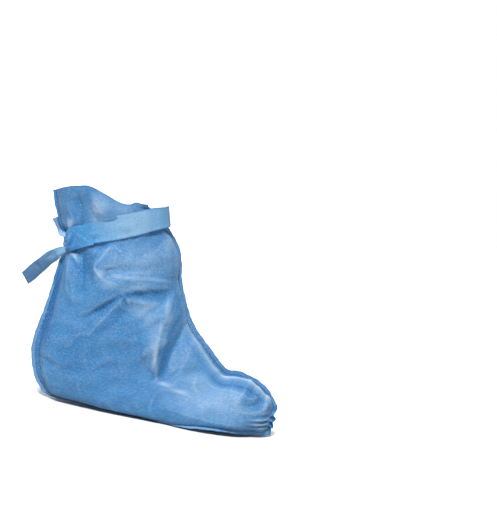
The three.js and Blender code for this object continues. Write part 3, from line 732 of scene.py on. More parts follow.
# the allowance of the toe seam, between the two others
def toeRows(line, frontOut, backOut, front, back, side):
    share = np.linspace(0, 1, len(line))
    lean, reach = gatherLean(share), lookUp(toeGathers, share)[:, 2]
    out = unit(frontOut * (1 - share)[:, None] + backOut * share[:, None])
    rows = []
    for i, (frontRow, backRow) in enumerate(zip(front, back), 1):
        part = i / allowance["rows"]
        row = line + out * (reach * part)[:, None]
        row[:, 1] += lean * gather["curl"] * part ** gather["curlGrowth"] + side * gather["apart"] * part
        row[0], row[-1] = frontRow[-1], backRow[-1]
        rows.append(row)
    return rows


# a side panel with its allowances as one ply, and its middle surface
def sidePanel(name, side, folds, paintedLightSpots, material, seed):
    at, surface, fromSeam, seamPaintedLight = panelSurface(side, folds, seed)
    rows, columns = panel["rows"], panel["columns"]
    frontOut, _ = seamAt(at[:, 0], False)
    backOut, _ = seamAt(at[:, -1], True)
    edges = between(sections, at[:, 0])[:, edgeFront], between(sections, at[:, -1])[:, edgeBack]

    def away(base, out):  # square to the allowance, away from the other ply
        line = unit(np.gradient(base, axis=0))
        across = unit(np.cross(line, out))
        return across * np.where(across[:, 1:2] * side < 0, -1, 1)

    frontAway, backAway = away(surface[:, 0], frontOut), away(surface[:, -1], backOut)
    front = allowanceRows(surface[:, 0], frontOut, edges[0], frontAway, side, seed=5)
    back = allowanceRows(surface[:, -1], backOut, edges[1], backAway, side, seed=6)
    toe = toeRows(surface[-1], frontOut[-1], backOut[-1], front, back, side)
    points = [surface.reshape(-1, 3)]
    ids = np.arange((rows + 1) * (columns + 1)).reshape(rows + 1, columns + 1)
    size = ids.size
    frontIds, backIds = [], []
    for group, kept in ((front, frontIds), (back, backIds)):
        for row in group:
            kept.append(np.arange(size, size + rows + 1))
            points.append(row)
            size += rows + 1
    table = np.concatenate([np.stack(frontIds[::-1], 1), ids, np.stack(backIds, 1)], 1)
    quads = [quadsOf(table)]
    last = ids[-1]
    for row, frontRow, backRow in zip(toe, frontIds, backIds):
        inner = np.arange(size, size + columns - 1)
        points.append(row[1:-1])
        size += columns - 1
        this = np.concatenate([[frontRow[-1]], inner, [backRow[-1]]])
        quads.append(quadsOf(np.stack([last, this])))
        last = this
    points = np.concatenate(points)
    faces = np.concatenate(quads)[:, ::-side]
    # painted light and painted shade: spots on the panel, along the seam folds and on the allowances
    toneAndPaintedLight = paintedLightAt(paintedLightSpots, points[:, 0], points[:, 2])
    toneAndPaintedLight[:ids.size] += seamPaintedLight.ravel()
    toneAndPaintedLight[ids.size:] = allowance["toePaintedShade"]
    toneAndPaintedLight[np.concatenate(frontIds)] = allowance["frontPaintedLight"]
    backRows = np.concatenate(backIds)
    deeper = smoothStep((points[backRows, 2] - allowance["deeperFrom"]) / allowance["deeperOver"])
    toneAndPaintedLight[backRows] = allowance["backPaintedLight"] - allowance["backPaintedShade"] * deeper
    crest, edge, place = np.zeros(len(points)), np.zeros(len(points)), np.zeros((len(points), 3))
    # ridges are drawn paler, partly wear and partly a painted highlight; valleys and the seam groove get
    # painted shade
    bends = np.clip(panel["crestGain"] * bend(surface, side), -1, 1)
    bends *= smoothStep((fromSeam - panel["crestFrom"]) / panel["crestOver"])
    bends -= panel["seamShade"] * np.exp(-(fromSeam / panel["seamShadeReach"]) ** 2)
    crest[:ids.size] = bends.ravel()
    edge[frontIds[-1]] = edge[backIds[-1]] = edge[last] = edge[table[0]] = 1
    place[:ids.size] = clothPlace(surface).reshape(-1, 3)
    place[ids.size:, :2] = points[ids.size:][:, [0, 2]] * metre
    attributes = {"toneAndPaintedLight": toneAndPaintedLight, "crest": crest, "rawEdge": edge, "clothPlace": place}
    return clothPiece(name, points, faces, material, attributes, cloth["thickness"]), surface


# how sharply the cloth bends at each point: above 0 on ridges and below 0 in valleys
def bend(surface, side, reach=2):
    normals = gridNormals(surface) * side
    total = np.zeros(surface.shape[:2])
    for axis in (0, 1):
        before, after = np.roll(surface, reach, axis), np.roll(surface, -reach, axis)
        span = np.linalg.norm(after - before, axis=-1)
        lift = ((surface - (before + after) / 2) * normals).sum(-1)
        curve = 8 * lift / np.maximum(span, 1e-6) ** 2  # from the height of an arc over its chord
        rim = np.moveaxis(curve, axis, 0)
        rim[:reach] = rim[-reach:] = 0
        total += curve
    return np.clip(total, -1, 1)


# place on the flat cloth, in metres: along the rows and down the columns
def clothPlace(surface):
    across = np.zeros(surface.shape[:2])
    across[:, 1:] = np.cumsum(np.linalg.norm(np.diff(surface, axis=1), axis=2), axis=1)
    across -= across[:, surface.shape[1] // 2][:, None]
    down = lengthAlong(surface[:, surface.shape[1] // 2])
    down = np.broadcast_to(down[:, None], across.shape)
    return np.stack([across, down, 0 * down], -1) * metre


# the tie strip from the middle of the front (0) to the back seam (1): section numbers of its lower and
# upper edge, and how far each edge stands off the shaft
tieRun = np.array([
    [0, 2.05, 0.68, 3, 3.4], [0.1, 2.1, 0.7, 3.6, 4.2], [0.22, 2.35, 0.8, 2, 3.4],
    [0.36, 2.72, 1.07, 0.6, 1.8], [0.5, 2.98, 1.4, 0, 0], [0.7, 3.22, 1.95, 0, 0],
    [0.8, 3.35, 2.25, 0, 0], [0.9, 3.45, 2.65, 0, 0], [1, 3.5, 2.85, 2, 2],
])
tie = {
    "stand": 1.6,  # from the shaft to the strip
    "farDrop": 0.3, "dropOver": 0.3,  # it lies lower on the far side, in sections
    "nearEnd": 0.79,  # it starts here on the near side, at the knot
    "backEnd": 0.925,  # and comes back round the back seam to here
    "thickness": 0.7,  # two plies
    "steps": 400,
    "columns": 18,
    "hem": 0.45,  # height of the hem ridge along the lower edge
    "hemPlace": 2.6, "hemWidth": 0.9,
    "hemFrom": 30, "hemOver": 30,
    "seed": 21,
    "wobble": 0.13,  # soft unevenness
    "wobbleCount": 8,
    "wobbleLength": (14, 46),
    "wobbleSlant": 0.5,
    # painted highlight along the middle of the band
    "pale": 0.4, "paintedHighlightAt": 78, "paintedHighlightReach": 42,
    "deep": 0.5, "paintedShadeReach": 34,  # painted shade beside the knot
}
tieFolds = {  # along the strip and across it, in millimetres from the knot and from the lower edge
    "crease at the knot": [(0, 16, 0, 3, 4), (9, 15, 1.0, 4, 5), (22, 13, 0.8, 5, 6), (40, 13, 0, 5, 6)],
    "lower crease at the knot": [
        (0, 6, 0, 3, 3), (8, 5, -0.9, 3, 4), (24, 6, -0.5, 4, 4), (36, 7, 0, 4, 4)],
    "upper gather": [(2, 24, 0, 3, 3), (12, 21, -0.8, 4, 4), (26, 20, 0, 4, 4)],
    "long soft crease": [(44, 20, 0, 6, 6), (66, 16, 0.7, 7, 7), (88, 17, 0, 6, 6)],
    "short cross crease": [(78, 2, 0, 3, 4), (81, 12, -0.35, 3, 4), (80, 24, 0, 3, 4)],
    "far crease": [(150, 8, 0, 6, 6), (176, 14, 0.6, 7, 7), (205, 12, 0, 6, 6)],
    "far gather": [(214, 14, 0, 5, 5), (236, 12, -0.8, 5, 6), (262, 13, 0, 5, 6)],
}
# the shaft that the tie lies on, measured at small steps
shaftStep, shaftColumns = 0.02, 200
shaftAts = np.arange(0, 5.001, shaftStep)
shaftShares = np.linspace(0, 1, shaftColumns + 1)


def shaftLattice():
    backOut, _ = seamAt(shaftAts, True)
    rows = []
    for i, at in enumerate(shaftAts):
        run, lengths = measuredRun(between(sections, at), 0, math.pi, near)
        gone = lengths[-1] * shaftShares
        row = alongRun(run, lengths, gone)
        row += backOut[i] * (seam["peak"] * np.exp(-(lengths[-1] - gone) / seam["reach"]))[:, None]
        rows.append(row)
    return np.array(rows)


shaft = shaftLattice()


# a point of the shaft; a share outside 0 to 1 runs on round the seam onto the other side
def shaftPoint(at, share, side):
    across = np.where((share < 0) | (share > 1), -1.0, 1.0)
    share = np.abs(share)
    share = np.where(share > 1, 2 - share, share) * shaftColumns
    at = at / shaftStep
    i = np.clip(at.astype(int), 0, len(shaftAts) - 2)
    k = np.clip(share.astype(int), 0, shaftColumns - 1)
    u, v = (at - i)[..., None], (share - k)[..., None]
    point = (shaft[i, k] * (1 - u) + shaft[i + 1, k] * u) * (1 - v)
    point += (shaft[i, k + 1] * (1 - u) + shaft[i + 1, k + 1] * u) * v
    point[..., 1] *= -side * across
    return point


# a point at some distance from the shaft, straight out of it and level
def standOff(at, share, side, distance):
    at, share = np.asarray(at, float), np.asarray(share, float)
    side = np.broadcast_to(np.asarray(side, float), share.shape)
    step = 0.02  # share of the way round that the slope is taken over
    along = shaftPoint(at, share + step, side) - shaftPoint(at, share - step, side)
    along[..., 2] = 0
    along = unit(along)
    out = np.stack([along[..., 1], -along[..., 0], 0 * share], -1) * side[..., None]
    return shaftPoint(at, share, side) + out * np.asarray(distance)[..., None]


def tieSurface():
    # from the knot forward on the near side, back on the far side and round the back seam
    gone = np.linspace(-tie["nearEnd"], 2 - tie["backEnd"], tie["steps"] + 1)[:, None]
    height = np.linspace(0, 1, tie["columns"] + 1)[None]
    side = np.where((gone >= 0) & (gone < 1), far, near) + 0 * height
    share = np.where(gone < 1, np.abs(gone), 2 - gone) + 0 * height
    row = lookUp(tieRun, share)
    fade = smoothStep(share / tie["dropOver"]) * smoothStep((1 - share) / tie["dropOver"])
    drop = np.where(side > 0, tie["farDrop"] * fade, 0)
    at = row[..., 1] * (1 - height) + row[..., 2] * height + drop
    stand = tie["stand"] + row[..., 3] * (1 - height) + row[..., 4] * height
    surface = standOff(at, share, side, stand)
    u = lengthAlong(surface[:, tie["columns"] // 2])[:, None] + 0 * height
    v = np.linalg.norm(surface[:, -1] - surface[:, 0], axis=1)[:, None] * height
    normals = gridNormals(surface)
    normals *= np.sign((normals * (surface - surface.mean((0, 1)))).sum(-1).mean())  # outward
    relief = foldRelief(tieFolds, u, v)
    hem = np.exp(-((v - tie["hemPlace"]) / tie["hemWidth"]) ** 2)
    relief += tie["hem"] * hem * smoothStep((u - tie["hemFrom"]) / tie["hemOver"])
    random = np.random.default_rng(tie["seed"])
    for _ in range(tie["wobbleCount"]):
        angle = random.uniform(-tie["wobbleSlant"], tie["wobbleSlant"])
        wave = random.uniform(*tie["wobbleLength"])
        turns = (u * math.cos(angle) + v * math.sin(angle)) / wave
        relief += tie["wobble"] * np.sin(2 * math.pi * turns + random.uniform(0, 6))
    return surface + normals * relief[..., None], np.stack([u, v, 0 * u], -1) * metre


def gridPiece(name, surface, place, material, thickness, toneAndPaintedLight):
    ids = np.arange(surface.shape[0] * surface.shape[1]).reshape(surface.shape[:2])
    edge = np.zeros(surface.shape[:2])
    edge[0] = edge[-1] = edge[:, 0] = edge[:, -1] = 1
    attributes = {
        "toneAndPaintedLight": (toneAndPaintedLight + 0 * edge).ravel(), "crest": bend(surface, 1).ravel(),
        "rawEdge": edge.ravel(), "clothPlace": place.reshape(-1, 3)}
    return clothPiece(name, surface.reshape(-1, 3), quadsOf(ids), material, attributes, thickness)


# the two free ends, from the knot to the tip: a point of the outer and one of the inner edge in each row
longEnd = np.array([
    [-59.5, -20.5, 196.5, -57.5, -20.5, 191.5], [-65.6, -17.5, 195.2, -62.5, -17, 188.2],
    [-72.5, -12, 192.3, -68, -9, 181.3], [-78.5, -4, 188.5, -72, 7, 174.5],
    [-88, -1, 181, -81, 15, 165], [-101, -2, 166.5, -94, 17, 147.5], [-113.5, -4, 151, -105, 16, 135],
])
shortEnd = np.array([
    [-60.5, -18, 206.5, -62, -18, 211.5], [-67.6, -13.5, 207, -67, -12.5, 212.5],
    [-75, -7, 207.5, -70, -3, 213.3], [-79.5, 1, 215, -74, 13, 217], [-88, 2, 225.5, -77, 18, 232],
])
ends = {
    "steps": 90,
    "columns": 18,
    "thickness": 0.6,
    "cup": 1.6,  # how far the middle of the strip bows out of flat
    "cupOver": 20, "cupWave": 26,
    "ripple": 0.25,
    "rippleWave": (4.1, 3.3),  # along the strip and across it
    "rippleOver": 20,
    "longTone": 0.3,
    "shortTone": 0.4,
}
longFolds = {
    "crease across": [(64, -1, 0, 3, 3), (60, 10, -1.3, 3, 4), (57, 24, 0, 3, 3)],
    "lengthwise fold": [(2, 5, 0, 3, 4), (18, 9, 1.5, 4, 5), (38, 15, 1.1, 4, 6), (60, 20, 0, 4, 5)],
    "small crease": [(30, 2, 0, 2, 3), (42, 6, -0.6, 3, 3), (54, 6, 0, 2, 3)],
}
shortFolds = {
    "lengthwise fold": [(2, 3, 0, 2, 3), (14, 6, 0.9, 3, 4), (34, 10, 0, 3, 4)],
}


def ribbonSurface(rows, folds):
    along = between(rows, np.linspace(0, len(rows) - 1, ends["steps"] + 1))
    outer, inner = along[:, None, :3], along[:, None, 3:]
    share = np.linspace(0, 1, ends["columns"] + 1)[None, :, None]
    surface = outer * (1 - share) + inner * share
    share = share[..., 0]
    u = lengthAlong(surface[:, ends["columns"] // 2])[:, None] + 0 * share
    v = np.linalg.norm(along[:, :3] - along[:, 3:], axis=1)[:, None] * share
    relief = foldRelief(folds, u, v)
    cup = ends["cup"] * np.sin(math.pi * share) * smoothStep(v[:, -1:] / ends["cupOver"])
    relief += cup * np.sin(u / ends["cupWave"])
    waveAlong, waveAcross = ends["rippleWave"]
    relief += ends["ripple"] * np.sin(u / waveAlong + v / waveAcross) * smoothStep(u / ends["rippleOver"])
    return surface + gridNormals(surface) * relief[..., None], np.stack([u, v, 0 * u], -1) * metre


# the knot: one creased wrap over a small core
knot = {
    "along": 0.866, "section": 2.96,  # where its middle lies on the shaft
    "steps": (72, 40),  # of the core, round and down
    "stand": 2.3, "long": 9.5, "thick": 3.41, "high": 11.5,
    "offset": -1,  # of the core from the middle of the wrap, along and up
    # painted shade on the core
    "toneAndPaintedLight": -0.5,
}
wrap = {
    "columns": 64,
    "rows": 48,
    "thickness": 1.0,
    "stand": 2.9,  # off the shaft, less at both ends
    "backDrop": 1.5, "backOver": 0.2,
    "frontDrop": 1.1, "frontOver": 0.4,
    "hump": 5.2,  # how much further its middle stands out
    "humpOver": 0.36, "humpEnd": 0.4,
    "squareness": 3.2,
    "edgeHump": 0.25, "edgeFolds": 0.2,  # what is left of the hump and the folds at both edges
    "slant": 1.5,  # how far the front edge leans forward at its top
    # painted shade over the back of the wrap, fading to painted light at its front
    "toneAndPaintedLight": -0.85, "frontPaintedLight": 0.65, "toneFrom": -4, "toneOver": 38,
}
# painted highlights on facets of the wrap: forward, up, half sizes, amount
wrapPaintedLight = [(6, 3, 3.5, 8, 0.5), (17, 6, 3, 4, 0.3)]
# outline of the wrap seen from outside: forward from the middle of the knot, lower edge, upper edge
knotOutline = np.array([
    [-17.5, -6, -3.5], [-14.5, -9.5, 0.5], [-11, -12, 3.5], [-6, -16, 7], [0, -17, 10], [6, -16.2, 13],
    [12, -14, 15.5], [19, -11.5, 17], [27, -9, 18], [36, -6.5, 18.5],
])
knotFolds = {
    "edge of the wrap": [(0, -13, 0, 4, 2), (4, -7, 1.6, 7, 2), (9, 2, 2.1, 8, 2), (13, 11, 0, 6, 2)],
    "valley beside it": [(4, -13, 0, 2, 4), (8, -6, -1.2, 2, 5), (13, 3, -1.2, 2, 5), (17, 10, 0, 2, 4)],
    "facet over the strip": [
        (13, 8, 0, 3, 3), (18, 4, 1.1, 3, 5), (24, -3, 0.6, 3, 5), (30, -6, 0, 3, 3)],
    "fold of the wrap": [(-15, -4, 0, 3, 3), (-8, -8, -1.6, 3, 4), (-1, -13, 0, 3, 3)],
    "second fold": [(-15, -3, 0, 3, 3), (-9, 0, -1.8, 3, 3), (-2, 7, 0, 3, 3)],
    "fold towards the strip": [
        (-14, -4, 0, 3, 4), (-5, -3, 1.5, 4, 5), (6, -1, 0.8, 4, 5), (17, 2, 0, 4, 4)],
    "point under the wrap": [(-11, -12, 0, 3, 3), (-3, -15, 1.4, 3, 3), (5, -12, 0, 3, 3)],
    "fold along the top": [(-8, 4, 0, 3, 3), (2, 8, 1.2, 4, 3), (12, 11, 0, 3, 3)],
}


# a point of the knot from its place seen from outside and its distance from the shaft
def knotPoint(forward, up, distance):
    around = lengthAlong(shaft[int(knot["section"] / shaftStep)])[-1]
    tips = shaftPoint(knot["section"] + np.array([-0.5, 0.5]), np.full(2, knot["along"]), near)
    sectionHeight = np.linalg.norm(tips[1] - tips[0])
    share = knot["along"] - forward / around
    return standOff(knot["section"] - up / sectionHeight, share, near, distance)


def knotWrap():
    across = np.linspace(0, 1, wrap["columns"] + 1)[None]
    share = np.linspace(0, 1, wrap["rows"] + 1)[:, None]
    row = lookUp(knotOutline, knotOutline[0, 0] + across * (knotOutline[-1, 0] - knotOutline[0, 0]))
    up = row[..., 1] * (1 - share) + row[..., 2] * share
    forward = row[..., 0] + wrap["slant"] * (2 * share - 1) * smoothStep(across * 2 - 1)
    middle = 1 - np.abs(2 * share - 1) ** wrap["squareness"]  # 1 in the middle and 0 at both edges
    hump = smoothStep(across / wrap["humpOver"]) * smoothStep((1 - across) / (1 - wrap["humpEnd"]))
    distance = wrap["stand"] - wrap["backDrop"] * smoothStep(1 - across / wrap["backOver"])
    distance = distance - wrap["frontDrop"] * smoothStep(1 - (1 - across) / wrap["frontOver"])
    distance = distance + wrap["hump"] * hump * (wrap["edgeHump"] + (1 - wrap["edgeHump"]) * middle)
    folds = foldRelief(knotFolds, forward, up) * (wrap["edgeFolds"] + (1 - wrap["edgeFolds"]) * middle)
    return knotPoint(forward, up, distance + folds), forward, up


def knotCore():
    around, down = knot["steps"]
    tip = 0.12  # radians left open at the top and bottom
    theta = np.linspace(0, 2 * math.pi, around + 1)[None]
    phi = np.linspace(tip, math.pi - tip, down + 1)[:, None]
    forward = knot["offset"] + knot["long"] * np.sin(phi) * np.cos(theta)
    up = knot["offset"] + knot["high"] * np.cos(phi) + 0 * theta
    return knotPoint(forward, up, knot["stand"] - knot["thick"] * np.sin(phi) * np.sin(theta))


def knotMesh():
    surface, forward, up = knotWrap()
    core = knotCore()
    ids = np.arange(forward.size).reshape(forward.shape)
    points, faces, _ = wallOf(surface.reshape(-1, 3), quadsOf(ids), wrap["thickness"])
    coreIds = len(points) + np.arange(core[..., 0].size).reshape(core.shape[:2])
    faces = np.concatenate([faces, quadsOf(coreIds)])
    core = core.reshape(-1, 3)
    crest = np.tile(bend(surface, 1).ravel(), 2)
    # painted shade on the wrap, painted light towards its front and on its facets
    toneAndPaintedLight = wrap["toneAndPaintedLight"] + wrap["frontPaintedLight"] * smoothStep((forward - wrap["toneFrom"]) / wrap["toneOver"])
    toneAndPaintedLight = np.tile((toneAndPaintedLight + paintedLightAt(wrapPaintedLight, forward, up)).ravel(), 2)
    # the wrap is another part of the strip than the band, so its fibres lie elsewhere
    place = np.tile(np.stack([forward - 60, up + 10, 0 * up], -1).reshape(-1, 3), (2, 1))
    attributes = {
        "toneAndPaintedLight": np.concatenate([toneAndPaintedLight, np.full(len(core), knot["toneAndPaintedLight"])]),
        "crest": np.concatenate([crest, np.zeros(len(core))]),
        "rawEdge": np.zeros(len(points) + len(core)),
        "clothPlace": np.concatenate([place, core]) * metre}
    return np.concatenate([points, core]), faces, attributes


stitch = {
    "length": 2.3,
    "gap": 0.9,
    "radius": 0.24,
    "sides": 6,
    "places": (0, 0.18, 0.5, 0.82, 1),  # rings along one stitch, their height off the cloth and thickness
    "heights": (-0.12, 0.2, 0.3, 0.2, -0.12),
    "sizes": (0.45, 1, 1.05, 1, 0.45),
    "linePoints": 1400,
    "fromTop": 0.03, "fromToe": 0.01,  # in sections
}
paleThread = {  # where the thread lies bare and shows white: up the front of the shin, and at the heel
    "shinForward": 60, "shinFrom": 84, "shinOver": 16, "shinTo": 190, "shinEnd": 10,
    "heelBack": -40, "heelTo": 110,
}


# a stitch line on the middle of one ply, from the top edge to the toe
def seamLine(side, isBack):
    share = np.array([1.0 if isBack else 0.0])
    start = max(float(topSection(share, which)[0]) for which in (near, far))
    ats = np.linspace(start + stitch["fromTop"], lastSection - stitch["fromToe"], stitch["linePoints"])
    lattice, _, _ = panelLattice(side, ats, share)
    return lattice[:, 0]


def stitchesOn(line, away):
    gone = lengthAlong(line)
    points, faces = [], []
    pitch, sides = stitch["length"] + stitch["gap"], stitch["sides"]
    heights = np.array(stitch["heights"])[:, None]
    sizes = stitch["radius"] * np.array(stitch["sizes"])[:, None, None]
    angles = np.linspace(0, 2 * math.pi, sides, endpoint=False)[None, :, None]
    for k in range(int(gone[-1] / pitch)):
        where = k * pitch + stitch["length"] * np.array(stitch["places"])
        at = np.stack([np.interp(where, gone, line[:, i]) for i in range(3)], -1)
        up = unit(np.stack([np.interp(where, gone, away[:, i]) for i in range(3)], -1))
        side = unit(np.cross(unit(np.gradient(at, axis=0)), up))[:, None]
        centre = (at + up * heights)[:, None]
        rings = centre + (side * np.cos(angles) + up[:, None] * np.sin(angles)) * sizes
        ids = k * rings[..., 0].size + np.arange(rings[..., 0].size).reshape(-1, sides)
        points.append(rings.reshape(-1, 3))
        faces.append(quadsOf(np.concatenate([ids, ids[:, :1]], 1)))
        for row, order in ((ids[0], 1), (ids[-1], -1)):  # both tips are closed
            for a in range(0, sides - 2, 2):
                quad = [row[0], row[a + 1], row[a + 2], row[(a + 3) % sides]]
                faces.append(np.array([quad[::order]]))
    return np.concatenate(points), np.concatenate(faces)


def seamStitches(name, lines, material):
    points, faces, size = [], [], 0
    apart = unit(lines[0] - lines[1])
    for line, away in ((lines[0], apart), (lines[1], -apart)):
        onto = line + away * cloth["thickness"] / 2
        made, quads = stitchesOn(onto, away)
        points.append(made)
        faces.append(quads + size)
        size += len(made)
    points, faces = np.concatenate(points), np.concatenate(faces)
    x, z = points[:, 0], points[:, 2]
    shin = smoothStep((z - paleThread["shinFrom"]) / paleThread["shinOver"])
    shin *= smoothStep((paleThread["shinTo"] - z) / paleThread["shinEnd"])
    heel = (x < paleThread["heelBack"]) & (z < paleThread["heelTo"])
    pale = shin * (x > paleThread["shinForward"]) + heel
    return makePiece(name, points, faces, material, {"clothPlace": points * metre, "pale": pale})


def addNode(tree, kind, values=None, **settings):
    made = tree.nodes.new("ShaderNode" + kind)
    for key, value in settings.items():
        setattr(made, key, value)
    for key, value in (values or {}).items():
        if isinstance(value, bpy.types.NodeSocket):
            tree.links.new(value, made.inputs[key])
        else:
            made.inputs[key].default_value = value
    return made


def maths(tree, operation, *values, clamp=False):
    return addNode(tree, "Math", dict(enumerate(values)), operation=operation, use_clamp=clamp).outputs[0]


def mixColour(tree, factor, first, second):
    return addNode(tree, "Mix", {"Factor": factor, 6: first, 7: second}, data_type="RGBA").outputs[2]


def mapped(tree, value, low, high, toLow=0.0, toHigh=1.0):
    return addNode(tree, "MapRange", {0: value, 1: low, 2: high, 3: toLow, 4: toHigh}).outputs[0]


def readAttribute(tree, name, output="Fac"):
    return addNode(tree, "Attribute", attribute_name=name).outputs[output]


# a place on the cloth counted in units of a given size
def scaledPlace(tree, place, size):
    share = maths(tree, "DIVIDE", 1.0, size)
    return addNode(tree, "VectorMath", {0: place, "Scale": share}, operation="SCALE").outputs[0]


def newGroup(name, inputs, outputs):
    tree = bpy.data.node_groups.new(name, "ShaderNodeTree")
    for key, kind, value in inputs:
        socket = tree.interface.new_socket(key, in_out="INPUT", socket_type="NodeSocket" + kind)
        if value is not None:
            socket.default_value = value
    for key, kind in outputs:
        tree.interface.new_socket(key, in_out="OUTPUT", socket_type="NodeSocket" + kind)
    return tree, tree.nodes.new("NodeGroupInput").outputs, tree.nodes.new("NodeGroupOutput").inputs


fibreLook = {
    "length": 0.0036, "width": 0.001, "cloud": 0.016, "bondPitch": 0.0016,  # in metres
    "grains": ((0.74, 3.1, 0.56), (-0.6, 7.7, 0.14), (0.4, 12.4, 0.3)),  # angle, seed and share
    "fibreRange": (0.36, 0.64),
    "cloudRange": (0.3, 0.7),
    "bondRange": (0.18, 0.34),
    "bondDepth": 0.5,  # how deep a bonding point lies, against the height of the fibres
}
tintLook = {
    "valley": 1.5,  # how strongly each of these deepens the colour; the valley one is painted shade
    "bonds": 0.1,
    "rawEdge": 0.8,
    "deepGrain": 1.6,
    "haze": 0.2, "hazeRange": (0.35, 0.9),
    "roughness": 0.71, "fibreGloss": 0.16, "bondGloss": 0.12,
}


# spunbonded fibres of a nonwoven cloth: a streaky grain in three directions, cloudy thin places and the
# small bonding points
def fibreGroup():
    tree, given, out = newGroup(
        "nonwovenFibres",
        [("Place", "Vector", None), ("Fibre length", "Float", fibreLook["length"]),
         ("Fibre width", "Float", fibreLook["width"]), ("Cloud size", "Float", fibreLook["cloud"]),
         ("Bond pitch", "Float", fibreLook["bondPitch"])],
        [("Fibres", "Float"), ("Clouds", "Float"), ("Bonds", "Float"), ("Height", "Float")])
    grain = 0.0
    for turn, seed, share in fibreLook["grains"]:
        turned = addNode(tree, "VectorRotate", {"Vector": given["Place"], "Angle": turn},
                         rotation_type="Z_AXIS").outputs[0]
        parts = addNode(tree, "SeparateXYZ", {0: turned}).outputs
        along = maths(tree, "DIVIDE", parts[0], given["Fibre length"])
        across = maths(tree, "DIVIDE", parts[1], given["Fibre width"])
        place = addNode(tree, "CombineXYZ", {0: along, 1: across, 2: seed}).outputs[0]
        noise = addNode(tree, "TexNoise", {
            "Vector": place, "Scale": 1.0, "Detail": 2.0, "Roughness": 0.55})
        grain = maths(tree, "MULTIPLY_ADD", noise.outputs[0], share, grain)
    fibres = mapped(tree, grain, *fibreLook["fibreRange"])
    clouds = addNode(tree, "TexNoise", {
        "Vector": scaledPlace(tree, given["Place"], given["Cloud size"]), "Scale": 1.0, "Detail": 4.0,
        "Roughness": 0.65}).outputs[0]
    clouds = mapped(tree, clouds, *fibreLook["cloudRange"])
    cell = addNode(tree, "TexVoronoi", {
        "Vector": scaledPlace(tree, given["Place"], given["Bond pitch"]), "Scale": 1.0,
        "Randomness": 0.15}, voronoi_dimensions="2D")
    bonds = mapped(tree, cell.outputs["Distance"], *fibreLook["bondRange"], 1.0, 0.0)
    height = maths(tree, "MULTIPLY_ADD", bonds, -fibreLook["bondDepth"], fibres)
    for key, value in (("Fibres", fibres), ("Clouds", clouds), ("Bonds", bonds), ("Height", height)):
        tree.links.new(value, out[key])
    return tree


# colour of the cloth: paler where fibres lie thick and on ridges (wear and a painted highlight), deeper
# in valleys (painted shade), at bonding points and along a cut edge, with painted light and shade from
# its tone
def tintGroup():
    colours = [(key, "Color", (0.5, 0.5, 0.5, 1)) for key in ("Base", "Pale", "Deep", "Haze")]
    amounts = [("Fibres", 0.5), ("Clouds", 0.5), ("Bonds", 0.0), ("Crest", 0.0), ("Tone", 0.0),
               ("Raw edge", 0.0), ("Grain", 0.3), ("Whitening", 0.5)]
    tree, given, out = newGroup(
        "nonwovenTint", colours + [(key, "Float", value) for key, value in amounts],
        [("Colour", "Color"), ("Roughness", "Float")])

    def above(value, gain):  # what is left of a value above 0, times a gain
        return maths(tree, "MAXIMUM", maths(tree, "MULTIPLY", value, gain), 0.0)

    # ridges get paler, partly as a painted highlight; valleys get painted shade; the tone paints light
    # above 0 and shade below 0
    ridge = maths(tree, "MULTIPLY", above(given["Crest"], 1.0), given["Whitening"])
    valley = maths(tree, "MULTIPLY", above(given["Crest"], -1.0), given["Whitening"])
    paleBy = maths(tree, "ADD", above(given["Tone"], 1.0), ridge, clamp=True)
    deepBy = maths(tree, "MULTIPLY_ADD", valley, tintLook["valley"], above(given["Tone"], -1.0))
    deepBy = maths(tree, "MULTIPLY_ADD", given["Bonds"], tintLook["bonds"], deepBy)
    deepBy = maths(tree, "MULTIPLY_ADD", given["Raw edge"], tintLook["rawEdge"], deepBy, clamp=True)
    grain = maths(tree, "MULTIPLY", maths(tree, "SUBTRACT", given["Fibres"], 0.5), given["Grain"])
    hazeBy = mapped(tree, given["Clouds"], *tintLook["hazeRange"], 0.0, tintLook["haze"])
    colour = mixColour(tree, hazeBy, given["Base"], given["Haze"])
    colour = mixColour(tree, paleBy, colour, given["Pale"])
    colour = mixColour(tree, deepBy, colour, given["Deep"])
    colour = mixColour(tree, above(grain, 1.0), colour, given["Pale"])
    colour = mixColour(tree, above(grain, -tintLook["deepGrain"]), colour, given["Deep"])
    tree.links.new(colour, out["Colour"])
    rough = maths(tree, "MULTIPLY_ADD", given["Fibres"], -tintLook["fibreGloss"], tintLook["roughness"])
    rough = maths(tree, "MULTIPLY_ADD", given["Bonds"], -tintLook["bondGloss"], rough)
    tree.links.new(rough, out["Roughness"])
    return tree


fibres, tint = fibreGroup(), tintGroup()
panelLook = {
    "base": (0.038, 0.19, 0.42, 1),
    "pale": (0.50, 0.61, 0.69, 1),
    "deep": (0.001, 0.105, 0.30, 1),
    "haze": (0.16, 0.23, 0.39, 1),
    "grain": 0.42,
    "whitening": 0.5,
    "bump": 0.12,  # millimetres that the fibres stand out
    "sheen": 0.06,
    "seeThrough": 0.16,  # share of the light that comes through the cloth
}
tieLook = {
    "base": (0.064, 0.28, 0.55, 1),
    "pale": (0.48, 0.62, 0.71, 1),
    "deep": (0.004, 0.15, 0.41, 1),
    "haze": (0.12, 0.29, 0.55, 1),
    "grain": 0.4,
    "whitening": 0.45,
    "bump": 0.11,
    "sheen": 0.1,
    "seeThrough": 0.14,
}


def newMaterial(name):
    material = bpy.data.materials.new(name)
    material.use_nodes = True
    return material, material.node_tree


